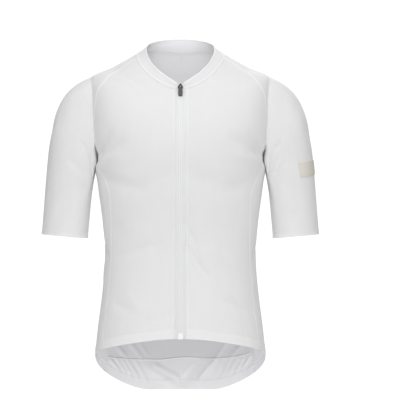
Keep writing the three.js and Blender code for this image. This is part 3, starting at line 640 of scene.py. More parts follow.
@dataclass
class Shell:
    """Welded patches as a closed cloth wall: outer face, inner face and a rim along every open edge."""

    patches: Sequence[Patch]
    thickness: float = 0.9
    lift: float = 0.0
    lined: bool = True

    def object(self, name: str) -> bpy.types.Object:
        """Builds the wall as an object.

        Args:
            name: the object's name.

        Returns:
            The object, linked to the scene.
        """
        offsets = np.cumsum([0] + [patch.relief.size for patch in self.patches])
        raw = np.concatenate([patch.points.reshape(-1, 3) for patch in self.patches])
        pattern = np.concatenate([patch.pattern.reshape(-1, 2) for patch in self.patches])
        relief = np.concatenate([patch.relief.ravel() for patch in self.patches])
        nets = zip(self.patches, offsets)
        quads = np.concatenate([grid_faces(*patch.relief.shape, offset) for patch, offset in nets])
        _, first, weld = np.unique(np.round(raw * 50).astype(np.int64), axis=0, return_index=True, return_inverse=True)
        weld = weld.ravel()
        points = raw[first]
        rise = np.full(len(points), np.inf)
        np.minimum.at(rise, weld, relief)
        faces = weld[quads]
        whole = (faces != np.roll(faces, -1, axis=1)).sum(axis=1) >= 3
        quads, faces = quads[whole], faces[whole]
        normal = self.facing(points, faces)
        outer = points + normal * (rise + self.lift)[:, None]
        inner = outer - normal * self.thickness
        count = len(points)
        edges = np.concatenate([np.stack([faces[:, k], faces[:, (k + 1) % 4]], axis=-1) for k in range(4)])
        edges = edges[edges[:, 0] != edges[:, 1]]
        there = edges[:, 0] * count + edges[:, 1]
        rim = edges[~np.isin(there, edges[:, 1] * count + edges[:, 0])]
        rim_faces = np.stack([rim[:, 1], rim[:, 0], rim[:, 0] + count, rim[:, 1] + count], axis=-1)
        all_faces = np.concatenate([faces, faces[:, ::-1] + count, rim_faces])
        uv = np.concatenate([pattern[quads], pattern[quads[:, ::-1]], pattern[first][rim_faces % count]])
        thing = mesh_object(name, np.concatenate([outer, inner]), all_faces, uv)
        if self.lined:
            doubled = np.concatenate([patch.doubled.ravel() for patch in self.patches])[quads].all(axis=1)
            side = np.zeros(len(all_faces), np.int32)
            side[: len(faces)] = 2 * doubled
            side[len(faces) : 2 * len(faces)] = 1
            thing.data.attributes.new("side", "INT", "FACE").data.foreach_set("value", side)
        return thing

    @staticmethod
    def facing(points: np.ndarray, faces: np.ndarray) -> np.ndarray:
        """Mean outward direction at each welded point."""
        corner = points[faces]
        normal = np.cross(corner[:, 2] - corner[:, 0], corner[:, 3] - corner[:, 1])
        total = np.zeros_like(points)
        for column in range(4):
            np.add.at(total, faces[:, column], normal)
        return unit(total)


def mesh_object(name: str, points: np.ndarray, faces: np.ndarray, uv: np.ndarray | None = None) -> bpy.types.Object:
    """Makes a mesh object from millimetres.

    Args:
        name: the object's name.
        points: vertex positions.
        faces: rows of three or four vertex numbers; a repeated number in a row is dropped.
        uv: a place on the cloth, in millimetres, for each corner of each face.

    Returns:
        The object, linked to the scene.
    """
    keep = faces != np.roll(faces, 1, axis=1)
    rows = [row[mask] for row, mask in zip(faces, keep)] if not keep.all() else faces
    mesh = bpy.data.meshes.new(name)
    mesh.from_pydata((points * MM).tolist(), [], [list(map(int, row)) for row in rows])
    if uv is not None:
        layer = mesh.uv_layers.new(name="cloth")
        layer.data.foreach_set("uv", (uv[keep] * MM).astype(np.float32).ravel())
    mesh.polygons.foreach_set("use_smooth", np.ones(len(mesh.polygons), bool))
    mesh.update()
    mesh.set_sharp_from_angle(angle=math.radians(50))
    thing = bpy.data.objects.new(name, mesh)
    bpy.context.scene.collection.objects.link(thing)
    return thing


# Lines on the cloth and the small raised shapes along them.


@dataclass
class Track:
    """A line on the cloth with the cloth's outward direction at each point."""

    points: np.ndarray
    normals: np.ndarray

    @staticmethod
    def on(surface: Surface, first: np.ndarray, second: np.ndarray,
           steps: tuple[float, float], flip: bool = False) -> "Track":
        """A line on a surface of two coordinates.

        Args:
            surface: gives points for both coordinates.
            first: first coordinate along the line.
            second: second coordinate along the line.
            steps: small steps of both coordinates, for the outward direction.
            flip: turns the outward direction round.

        Returns:
            The line.
        """
        first, second = np.broadcast_arrays(np.asarray(first, float), np.asarray(second, float))
        points = surface(first, second)
        one = surface(first + steps[0], second) - surface(first - steps[0], second)
        two = surface(first, second + steps[1]) - surface(first, second - steps[1])
        normal = np.cross(one, two) * (-1 if flip else 1)
        return Track(points, unit(normal))

    def spaced(self, step: float) -> "Track":
        """The same line with points at even distances."""
        length = np.concatenate([[0], np.cumsum(np.linalg.norm(np.diff(self.points, axis=0), axis=1))])
        at = np.linspace(0, length[-1], max(2, int(round(length[-1] / step)) + 1))
        points, normals = (
            np.stack([np.interp(at, length, column) for column in values.T], axis=-1)
            for values in (self.points, self.normals)
        )
        return Track(points, unit(normals))

    def along(self) -> np.ndarray:
        """Unit direction of travel at each point."""
        return unit(np.gradient(self.points, axis=0))

    def beside(self, offset: float, lift: float = 0.0) -> "Track":
        """The line moved sideways on the cloth, to the right of travel, and lifted."""
        side = np.cross(self.along(), self.normals)
        return Track(self.points + side * offset + self.normals * lift, self.normals)


GRAIN_FACES = (
    (0, 2, 3, 3), (0, 3, 4, 4), (0, 4, 5, 5), (0, 5, 2, 2), (1, 3, 2, 2), (1, 4, 3, 3), (1, 5, 4, 4), (1, 2, 5, 5),
)
LOOP_FACES = (
    (2, 3, 5, 4), (4, 5, 7, 6), (0, 2, 4, 4), (0, 4, 6, 6), (1, 5, 3, 3), (1, 7, 5, 5), (0, 6, 7, 1), (0, 1, 3, 2),
)


@dataclass
class Trim:
    """Collects small raised shapes of one finish into a single mesh."""

    points: list[np.ndarray]
    faces: list[np.ndarray]
    count: int = 0

    @staticmethod
    def empty() -> "Trim":
        """A trim with nothing in it."""
        return Trim([], [])

    def add(self, points: np.ndarray, faces: np.ndarray) -> None:
        """Adds points and the quads between them."""
        self.points.append(points.reshape(-1, 3))
        self.faces.append(faces + self.count)
        self.count += len(self.points[-1])

    def repeat(self, nets: np.ndarray, faces: Sequence[Sequence[int]]) -> None:
        """Adds many small nets of points that share one table of faces."""
        starts = nets.shape[1] * np.arange(len(nets))[:, None, None]
        self.add(nets, (np.array(faces)[None] + starts).reshape(-1, 4))

    def band(self, track: Track, half_width: float, height: float, sink: float = 0.4) -> None:
        """Adds a low rounded band along a track.

        Args:
            track: the middle of the band.
            half_width: half of its width.
            height: rise of its middle over the cloth.
            sink: how deep its underside lies in the cloth.
        """
        side = np.cross(track.along(), track.normals)
        profile = ((1, -sink), (1, 0), (0.72, 0.7 * height), (0, height), (-0.72, 0.7 * height), (-1, 0), (-1, -sink))
        ring = [track.points + side * (x * half_width) + track.normals * z for x, z in profile]
        net = np.stack(ring, axis=1)
        rows, columns = net.shape[:2]
        first = np.arange(columns)
        last = first[::-1] + (rows - 1) * columns
        caps = [[end[0], end[a], end[b], end[c]] for end in (first, last)
                for a, b, c in ((1, 2, 3), (3, 4, 5), (5, 6, 6))]
        self.add(net, np.concatenate([tube_faces(rows, columns), np.array(caps)]))

    def stitches(self, track: Track, length: float, gap: float, radius: float = 0.22, slant: float = 0.0) -> None:
        """Adds a row of stitches, each a slim grain of thread.

        Args:
            track: the row's line on the cloth.
            length: length of a stitch.
            gap: distance between two stitches.
            radius: half of the thread's width.
            slant: sideways run of each stitch, for a zigzag.
        """
        row = track.spaced(length + gap)
        along, side = row.along(), np.cross(row.along(), row.normals)
        swing = np.where(np.arange(len(row.points)) % 2 == 0, 1.0, -1.0)[:, None] * slant
        run = along * (length / 2) + side * swing / 2
        middle = row.points + row.normals * (0.6 * radius)
        width = np.cross(unit(run), row.normals) * radius
        rise = row.normals * radius
        net = np.stack([middle - run, middle + run, middle + width, middle + rise, middle - width, middle - rise], 1)
        self.repeat(net, GRAIN_FACES)

    def object(self, name: str) -> bpy.types.Object:
        """Builds everything collected as one object."""
        return mesh_object(name, np.concatenate(self.points), np.concatenate(self.faces))


# Finishes.


class Socket:
    """A node's output as a value that takes part in expressions."""

    def __init__(self, shader: "Shader", link: bpy.types.NodeSocket) -> None:
        """Keeps the shader that the output belongs to."""
        self.shader = shader
        self.link = link

    def _math(self, operation: str, *values: "Socket | float") -> "Socket":
        """Adds a Math node."""
        return self.shader.node("ShaderNodeMath", {"operation": operation}, *values)

    def __add__(self, other: "Socket | float") -> "Socket":
        """self + other."""
        return self._math("ADD", self, other)

    __radd__ = __add__

    def __mul__(self, other: "Socket | float") -> "Socket":
        """self * other."""
        return self._math("MULTIPLY", self, other)

    __rmul__ = __mul__

    def __sub__(self, other: "Socket | float") -> "Socket":
        """self - other."""
        return self._math("SUBTRACT", self, other)

    def __rsub__(self, other: float) -> "Socket":
        """other - self."""
        return self._math("SUBTRACT", other, self)

    def sine(self) -> "Socket":
        """The sine of the value."""
        return self._math("SINE", self)

    def power(self, exponent: float) -> "Socket":
        """The absolute value raised to an exponent."""
        return self._math("POWER", self._math("ABSOLUTE", self), exponent)


class Shader:
    """The nodes of a material or a world, and the one way to add to them."""

    def __init__(self, owner: bpy.types.Material | bpy.types.World, closing: str) -> None:
        """Turns the owner's nodes on and finds the shader that closes them."""
        self.owner = owner
        owner.use_nodes = True
        self.tree = owner.node_tree
        self.closing = self.tree.nodes[closing]

    @staticmethod
    def material(name: str) -> "Shader":
        """A new material with a Principled shader."""
        return Shader(bpy.data.materials.new(name), "Principled BSDF")

    def node(self, kind: str, settings: dict[str, object] | None = None, *values: object,
             output: int | str = 0, **named: object) -> Socket:
        """Adds a node.

        Args:
            kind: the node's type.
            settings: properties that are set first; a ramp's stops are (place, colour) pairs under "stops".
            values: values or links for the inputs in order.
            output: the output that is returned.
            named: values or links for inputs by name, with _ for a space.

        Returns:
            The chosen output.
        """
        made = self.tree.nodes.new(kind)
        for key, value in (settings or {}).items():
            if key == "stops":
                ramp = made.color_ramp
                for stop, (place, colour) in zip(ramp.elements, value):
                    stop.position, stop.color = place, colour
            else:
                setattr(made, key, value)
        pairs = list(enumerate(values)) + [(key.replace("_", " "), value) for key, value in named.items()]
        for key, value in pairs:
            self.feed(made.inputs[key], value)
        return Socket(self, made.outputs[output])

    def feed(self, target: bpy.types.NodeSocket, value: object) -> None:
        """Links or sets one input."""
        if isinstance(value, Socket):
            self.tree.links.new(value.link, target)
        else:
            target.default_value = value

    def close(self, **inputs: object) -> None:
        """Feeds the closing shader's inputs, with _ for a space."""
        for key, value in inputs.items():
            self.feed(self.closing.inputs[key.replace("_", " ")], value)

    def cloth(self) -> tuple[Socket, Socket]:
        """Place on the cloth's own pattern, across and along."""
        place = self.node("ShaderNodeUVMap", {"uv_map": "cloth"})
        return tuple(self.node("ShaderNodeSeparateXYZ", {}, place, output=axis) for axis in ("X", "Y"))

    def bump(self, strength: float, distance: float, height: Socket) -> Socket:
        """Raises the surface's normal by a height, with the distance in millimetres."""
        return self.node("ShaderNodeBump", {}, Strength=strength, Distance=distance * MM, Height=height)

    def mixed(self, share: Socket | float, first: object, second: object) -> Socket:
        """A colour between two colours."""
        return self.node("ShaderNodeMix", {"data_type": "RGBA"}, output=2, Factor=share, A=first, B=second)


Colour = tuple[float, float, float, float]


def shade(value: float, cool: float = 0.0) -> Colour:
    """A grey, a little bluer by cool."""
    return (value - cool, value - 0.4 * cool, value + cool, 1.0)


@dataclass(frozen=True)
class Knit:
    """A knitted cloth: fine loops in relief, small pores and a faint unevenness."""

    name: str
    colour: Colour
    pore: Colour
    pitch: float
    pores: float
    relief: float
    roughness: float = 0.82
    through: float = 0.5
    depth: float = 3.0

    def material(self) -> bpy.types.Material:
        """Builds the material."""
        shader = Shader.material(self.name)
        x, y = shader.cloth()
        wave = 2 * math.pi / (self.pitch * MM)
        loops = (x * wave + (y * (wave / 2)).sine() * 0.9).sine() * (y * wave).sine()
        pore = loops.power(2.0) * self.pores
        cloud = shader.node("ShaderNodeTexNoise", {"noise_dimensions": "3D"}, Scale=9.0, Detail=3.0)
        even = shader.mixed(cloud * 0.4, self.colour, self.pore)
        shader.close(
            Base_Color=shader.mixed(pore, even, self.pore),
            Roughness=self.roughness,
            Sheen_Weight=0.12,
            Sheen_Roughness=0.5,
            Subsurface_Weight=self.through,
            Subsurface_Radius=(1, 1, 1),
            Subsurface_Scale=self.depth * MM,
            Specular_IOR_Level=0.25,
            Normal=shader.bump(self.relief, 0.25, loops * 0.5 + 0.5),
        )
        return shader.owner


@dataclass(frozen=True)
class Plain:
    """A plain finish with a faint grain."""

    name: str
    colour: Colour
    roughness: float
    metallic: float = 0.0
    grain: float = 900.0
    relief: float = 0.15
    coat: float = 0.0

    def material(self) -> bpy.types.Material:
        """Builds the material."""
        shader = Shader.material(self.name)
        grain = shader.node("ShaderNodeTexNoise", {"noise_dimensions": "3D"}, Scale=self.grain, Detail=2.0)
        shader.close(
            Base_Color=shader.mixed(grain * 0.1, self.colour, shade(0.5 * self.colour[0])),
            Roughness=self.roughness,
            Metallic=self.metallic,
            Coat_Weight=self.coat,
            Normal=shader.bump(self.relief, 0.1, grain),
        )
        return shader.owner


@dataclass(frozen=True)
class Woven:
    """A woven cloth of crossing ribs."""

    name: str
    colour: Colour
    dark: Colour
    pitch: float
    ribs: float = 1.0
    relief: float = 0.3
    roughness: float = 0.75

    def material(self) -> bpy.types.Material:
        """Builds the material."""
        shader = Shader.material(self.name)
        x, y = shader.cloth()
        wave = 2 * math.pi / (self.pitch * MM)
        ribs = (x * wave).sine() * (1 - self.ribs) + (y * wave).sine() * self.ribs
        shader.close(
            Base_Color=shader.mixed(ribs * 0.25 + 0.25, self.colour, self.dark),
            Roughness=self.roughness,
            Specular_IOR_Level=0.3,
            Normal=shader.bump(self.relief, 0.3, ribs * 0.5 + 0.5),
        )
        return shader.owner


class Finish(Enum):
    """The jersey's finishes."""

    JERSEY = Knit("white_jersey_knit", shade(0.83, 0.002), shade(0.74, 0.002), 1.3, 0.2, 0.25)
    DOUBLED = Knit("white_jersey_doubled", shade(0.865, 0.002), shade(0.78, 0.002), 1.3, 0.2, 0.25)
    POCKET = Knit("white_pocket_knit", shade(0.85, 0.002), shade(0.77, 0.002), 1.3, 0.2, 0.25, through=0.35)
    # The inside finish is the same knit made lighter and slightly blue: painted light for the inside, which gets little
    # light, and the blue tint of painted shade.
    INSIDE = Knit(
        "white_jersey_inside_painted_light", (0.97, 0.96, 0.985, 1), (0.91, 0.90, 0.925, 1), 1.3, 0.2, 0.25, through=0.35
    )
    MESH = Knit("white_side_mesh", shade(0.86, 0.0), shade(0.74, 0.0), 2.2, 0.35, 0.5, through=0.6)
    ELASTIC = Woven("white_elastic", shade(0.76, 0.006), shade(0.66, 0.006), 1.6)
    TAPE = Woven("white_zip_tape", shade(0.80, 0.006), shade(0.74, 0.006), 1.2)
    COIL = Plain("white_coil", shade(0.95, 0.004), 0.5)
    # The coil core's grey is painted shade: it stands for the shadowed gap where the two rows of loops meet.
    CORE = Plain("painted_shade_coil_gap", shade(0.74), 0.7)
    THREAD = Plain("white_thread", shade(0.90), 0.6)
    LABEL = Woven("beige_label", (0.73, 0.70, 0.64, 1), (0.64, 0.61, 0.54, 1), 0.8, 0.5, 0.25)
    LABEL_THREAD = Plain("beige_thread", (0.78, 0.75, 0.70, 1), 0.6)
    SLIDER = Plain("black_slider", shade(0.022), 0.36, 0.3, 500.0, 0.1, 0.3)
    RIVET = Plain("grey_rivet", shade(0.42), 0.3, 0.9, 500.0, 0.05)
    FLOOR = Plain("pale_floor", shade(0.86), 0.8, 0.0, 3.0, 0.02)

    def material(self) -> bpy.types.Material:
        """The finish's material, made once."""
        return bpy.data.materials.get(self.value.name) or self.value.material()

    def dress(self, thing: bpy.types.Object) -> None:
        """Gives an object this finish, and doubled hems their own; a shell's inner face gets a lighter, slightly blue
        copy of the jersey, painted light with a painted shade tint.
        """
        thing.data.materials.clear()
        thing.data.materials.append(self.material())
        if thing.data.attributes.get("side"):
            thing.data.materials.append(Finish.INSIDE.material())
            thing.data.materials.append((Finish.DOUBLED if self is Finish.JERSEY else self).material())
            side = np.zeros(len(thing.data.polygons), np.int32)
            thing.data.attributes["side"].data.foreach_get("value", side)
            thing.data.polygons.foreach_set("material_index", side)


class Slot(Enum):
    """Names of material slots; nothing in the script uses them."""

    JERSEY = "white_jersey"
    MESH = "white_mesh"
    ELASTIC = "white_elastic"
    ZIP = "zip_white"
    LABEL = "label_beige"
    SLIDER = "slider_black"


@dataclass(frozen=True)
class Sheet:
    """A piece's flat cloth: the size and area of what shows, how it is held and what it rests on."""

    flat: tuple[float, float]
    area: float | None = None
    held: str = "draped"
    rests_on: tuple[str, ...] = ("back",)

    def state(self, piece: bpy.types.Object) -> None:
        """Does nothing with the piece; the sheet is not stated anywhere."""


def settle(thing: bpy.types.Object, finish: Finish, body: str = GARMENT) -> bpy.types.Object:
    """Dresses a piece and lets it ride on a body.

    Args:
        thing: the piece.
        finish: its finish.
        body: the body that it moves with.

    Returns:
        The same piece.
    """
    finish.dress(thing)
    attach(thing, body)
    log.info("%s: %d faces", thing.name, len(thing.data.polygons))
    return thing


# The jersey's cloth pieces.


def pattern_of(turn: np.ndarray, ring: np.ndarray) -> np.ndarray:
    """Place on the cloth's own pattern, in millimetres, for turns and rings of the body."""
    turn, ring = np.broadcast_arrays(turn, ring)
    return np.stack([turn * math.radians(1) * BODY.mean_radius, ring * BODY.ring_height], axis=-1)


def body_patch(turn: np.ndarray, ring: np.ndarray, edges: dict[str, Edge] | None = None) -> Patch:
    """A patch of the body's cloth from nets of turns and rings."""
    turn, ring = np.broadcast_arrays(turn, ring)
    return Patch.of(body_points(turn, ring), pattern_of(turn, ring), edges)


def rings_between(start: float, end: float, step: float = 0.045) -> np.ndarray:
    """Even ring numbers from start to end."""
    return np.linspace(start, end, max(2, int(round((end - start) / step)) + 1))


def armhole_rings(start: float) -> np.ndarray:
    """Ring numbers from start up to the top of the armhole, where they lie closer together."""
    near_top = SHOULDER_RING - np.array([0.1, 0.06, 0.03, 0.01, 0.0])
    return np.concatenate([rings_between(start, near_top[0] - 0.045), near_top])


SEAM_EDGE = Edge(drop=0.25, width=1.2, pucker=0.1)
FLAT_EDGE = Edge(drop=0.15, width=1.2, pucker=0.06)
ARMHOLE_EDGE = Edge(drop=0.15, width=1.2, pucker=0.2)
HEM_EDGE = Edge(drop=0.3, width=1.0, hem=20, hem_raise=0.5, groove=0.6, pucker=0.15)


@dataclass
class Front:
    """One front, from the zip to the side seam, the armhole and the raglan seam."""

    side: int
    name: str
    node: str
    columns: int = 84
    placket: float = 9.6
    sheet: Sheet = Sheet((0.29, 0.56), 0.098)

    def outline(self, ring: np.ndarray) -> np.ndarray:
        """Turn of the outer edge at ring numbers."""
        armhole = ARMHOLE.turn - ARMHOLE.half_opening(ring)
        low, high = Seam.FRONT_SIDE.turn(ring), Seam.RAGLAN.turn(ring)
        return np.where(ring < ARMPIT_RING, low, np.where(ring < RAGLAN_RING, armhole, high))

    def build(self) -> bpy.types.Object:
        """Builds the front."""
        rings = rings_between(0, NECK_RING)
        inner, outer = front_edge_turn(rings, FRONT_EDGE_HALF), self.outline(rings)
        share = clustered(self.columns)
        turn = inner[:, None] + (outer - inner)[:, None] * share
        ring = np.broadcast_to(rings[:, None], turn.shape)
        zip_edge = Edge(drop=0.25, width=0.8, hem=self.placket, hem_raise=0.5, groove=0.3)
        edges = {"left": zip_edge, "right": SEAM_EDGE, "bottom": HEM_EDGE, "top": SEAM_EDGE}
        patch = body_patch(turn, ring, edges)
        if self.side < 0:
            patch = body_patch(-turn, ring, edges).flipped()
        piece = Shell([patch]).object(self.name)
        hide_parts(self.node)
        self.sheet.state(piece)
        return settle(piece, Finish.JERSEY)


@dataclass(frozen=True)
class BodyRows:
    """Rows that run level round the sides and dip to the dropped back hem."""

    side: tuple[float, ...] = (0, 0.17, 0.3, 0.8, 1.2, 1.6, 2.0, 2.3, 2.8, 3.25, 3.7, 4.15, 4.6, 5.1, 5.5, 5.82)
    back: tuple[float, ...] = (0, 0.215, 0.69, 1.0, 1.35, 1.7, 2.1, 2.45, 2.85, 3.25, 3.7, 4.15, 4.6, 5.1, 5.5, 5.82)
    gripper: float = 1
    pocket_low: float = 2
    pocket_high: float = 7
    top: float = 15

    def rings(self, row: np.ndarray) -> tuple[np.ndarray, np.ndarray]:
        """Side and back ring numbers of rows."""
        count = np.arange(len(self.side))
        return np.interp(row, count, self.side), np.interp(row, count, self.back)

    def ring(self, row: np.ndarray, turn: np.ndarray) -> np.ndarray:
        """Ring number of rows at turns."""
        side, back = self.rings(row)
        size = np.where(turn > 180, 360 - turn, turn)
        return side + (back - side) * ease(np.clip((size - 90) / 90, 0, 1))

    def back_edge(self, row: np.ndarray) -> tuple[np.ndarray, np.ndarray]:
        """Turn and ring where rows meet the back's side seam."""
        side, _ = self.rings(row)
        ring = self.ring(row, Seam.BACK_SIDE.turn(side))
        return Seam.BACK_SIDE.turn(ring), ring

    def back_net(self, rows: np.ndarray, share: np.ndarray) -> tuple[np.ndarray, np.ndarray]:
        """Turns and rings of a net across the back, from the wearer's left to the right."""
        edge, _ = self.back_edge(rows)
        turn = edge[:, None] + (360 - 2 * edge)[:, None] * share
        return turn, self.ring(rows[:, None] + np.zeros_like(turn), turn)


ROWS = BodyRows()
POCKET_LINE = (
    (114.8, 0.51), (124, 0.54), (144, 0.655), (170, 0.735), (197.2, 0.69), (213.2, 0.645), (231.2, 0.52), (247, 0.385),
)


@dataclass
class Back:
    """The back with its reach over both shoulders and a narrow tail before each armhole."""

    columns: int = 150
    flank: int = 24
    sheet: Sheet = Sheet((0.56, 0.78), 0.27, rests_on=())

    def build(self) -> bpy.types.Object:
        """Builds the back."""
        share = clustered(self.columns, 0.6)
        rows = np.linspace(ROWS.gripper, ROWS.top, 150)
        turn, ring = ROWS.back_net(rows, share)
        gather = Edge(drop=0.4, width=1.5, pucker=0.35)
        sides = {"left": SEAM_EDGE, "right": SEAM_EDGE}
        patches = [body_patch(turn, ring, {**sides, "bottom": gather})]
        low = rings_between(5.82, ARMPIT_RING)
        edge = Seam.BACK_SIDE.turn(low)
        patches.append(self.level(edge, low, share, sides))
        high = np.concatenate([rings_between(ARMPIT_RING, RAGLAN_RING), armhole_rings(RAGLAN_RING)[1:]])
        armhole = {"left": ARMHOLE_EDGE, "right": ARMHOLE_EDGE}
        patches.append(self.level(ARMHOLE.turn + ARMHOLE.half_opening(high), high, share, armhole))
        yoke = rings_between(SHOULDER_RING, NECK_RING)
        patches.append(self.level(np.full(len(yoke), 90.0), yoke, share, {"top": SEAM_EDGE}))
        for side in (1, -1):
            patches.append(self.shoulder(side, yoke, np.full(len(yoke), 90.0), {"left": FLAT_EDGE, "top": SEAM_EDGE}))
            tail = armhole_rings(RAGLAN_RING)
            edge = ARMHOLE.turn - ARMHOLE.half_opening(tail)
            patches.append(self.shoulder(side, tail, edge, {"left": FLAT_EDGE, "right": ARMHOLE_EDGE}))
        piece = Shell(patches).object("back_cloth")
        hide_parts("back")
        self.sheet.state(piece)
        return settle(piece, Finish.JERSEY)

    @staticmethod
    def level(edge: np.ndarray, rings: np.ndarray, share: np.ndarray, edges: dict[str, Edge]) -> Patch:
        """A patch of level rows between the same turn on both sides."""
        turn = edge[:, None] + (360 - 2 * edge)[:, None] * share
        return body_patch(turn, np.broadcast_to(rings[:, None], turn.shape), edges)

    def shoulder(self, side: int, rings: np.ndarray, outer: np.ndarray, edges: dict[str, Edge]) -> Patch:
        """A patch between the raglan seam and an outer edge."""
        inner = Seam.RAGLAN.turn(rings)
        turn = inner[:, None] + (outer - inner)[:, None] * np.linspace(0, 1, self.flank + 1)
        ring = np.broadcast_to(rings[:, None], turn.shape)
        patch = body_patch(side * turn, ring, edges)
        return patch if side > 0 else patch.flipped()


@dataclass
class HemGripper:
    """The elastic band round the dropped back hem."""

    columns: int = 150
    rows: int = 46
    rib: float = 2.4
    rib_rise: float = 0.14
    sheet: Sheet = Sheet((0.40, 0.022), held="stretched", rests_on=("back_cloth",))

    def build(self) -> bpy.types.Object:
        """Builds the band with its low ribs."""
        turn, ring = ROWS.back_net(np.linspace(0, ROWS.gripper, self.rows), clustered(self.columns, 0.3))
        edges = {"bottom": Edge(drop=0.4, width=0.8), "top": Edge(drop=0.6, width=1.2, pucker=0.3)}
        patch = body_patch(turn, ring, edges)
        patch.relief = patch.relief + self.rib_rise * np.cos(2 * np.pi * run_lengths(patch.points, 0) / self.rib)
        piece = Shell([patch], thickness=1.3, lift=0.2).object("hem_band")
        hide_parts("hem_gripper")
        self.sheet.state(piece)
        return settle(piece, Finish.ELASTIC)


@dataclass
class SidePanel:
    """One side panel, from the hem to the armpit."""

    side: int
    name: str
    node: str
    columns: int = 44
    dip: float = 0.12
    sheet: Sheet = Sheet((0.14, 0.43), 0.05)

    def build(self) -> bpy.types.Object:
        """Builds the panel."""
        share = clustered(self.columns, 0.6)
        rows = np.linspace(0, ROWS.top, 150)
        level, _ = ROWS.rings(rows)
        front = Seam.FRONT_SIDE.turn(level)
        back, back_ring = ROWS.back_edge(rows)
        turn = front[:, None] + (back - front)[:, None] * share
        last = np.clip(rows - (ROWS.top - 1), 0, 1)[:, None]
        ring = level[:, None] + (back_ring - level)[:, None] * share - self.dip * last * np.sin(np.pi * share)
        sides = {"left": SEAM_EDGE, "right": SEAM_EDGE}
        body = body_patch(self.side * turn, ring, {**sides, "bottom": HEM_EDGE})
        meets = ARMHOLE.side_seam_meets
        top_turn, top_ring = ARMHOLE.place(meets + (360 - 2 * meets) * share)
        step = np.linspace(0, 1, 10)[:, None]
        turn = turn[-1] + (top_turn - turn[-1]) * step
        ring = ring[-1] + (top_ring - ring[-1]) * step
        pit = body_patch(self.side * turn, ring, {**sides, "top": ARMHOLE_EDGE})
        patches = [body, pit] if self.side > 0 else [body.flipped(), pit.flipped()]
        piece = Shell(patches).object(self.name)
        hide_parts(self.node)
        self.sheet.state(piece)
        return settle(piece, Finish.MESH)


@dataclass
class Sleeve:
    """One short sleeve."""

    side: int
    name: str
    node: str
    columns: int = 150
    rows: int = 110
    sheet: Sheet = Sheet((0.40, 0.32), 0.088)

    def angles(self) -> np.ndarray:
        """Places round the armhole at even distances, from the armpit round."""
        dense = np.linspace(-180, 180, 2001)
        turn, ring = ARMHOLE.place(dense)
        points = body_points(turn, ring)
        length = np.concatenate([[0], np.cumsum(np.linalg.norm(np.diff(points, axis=0), axis=1))])
        return np.interp(np.linspace(0, length[-1], self.columns + 1), length, dense)

    def build(self) -> bpy.types.Object:
        """Builds the sleeve."""
        along = np.linspace(0, 1, self.rows)[:, None]
        angle = self.angles()[None, :]
        points = SLEEVE.points(self.side, angle, along)
        run = run_lengths(points, 0)
        girth = np.broadcast_to(angle * math.radians(1) * SLEEVE.radius, run.shape)
        edges = {"bottom": ARMHOLE_EDGE, "top": Edge(0.3, 1.0, hem=8, hem_raise=0.5, groove=0.7, pucker=0.1)}
        patch = Patch.of(points, np.stack([girth, run], axis=-1), edges)
        piece = Shell([patch if self.side > 0 else patch.flipped()]).object(self.name)
        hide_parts(self.node)
        self.sheet.state(piece)
        return settle(piece, Finish.JERSEY)


@dataclass
class Collar:
    """The stand collar, open in a V above the zip."""

    columns: int = 260
    rows: int = 18
    sheet: Sheet = Sheet((0.56, 0.045), 0.017)

    def build(self) -> bpy.types.Object:
        """Builds the collar."""
        start = float(front_edge_turn(NECK_RING, FRONT_EDGE_HALF))
        turn = np.linspace(start, 360 - start, self.columns)[None, :]
        share = np.linspace(0, 1, self.rows)[:, None]
        points = COLLAR.points(turn, share)
        pattern = np.stack(np.broadcast_arrays(turn * 1.6, share * 40), axis=-1)
        edges = {"bottom": Edge(0.45, 1.2, hem=5.5, hem_raise=0.6, groove=0.7, pucker=0.1), "top": Edge(0.3, 0.8)}
        piece = Shell([Patch.of(points, pattern, edges)], thickness=1.5).object("collar_band")
        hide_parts("collar")
        self.sheet.state(piece)
        return settle(piece, Finish.JERSEY)


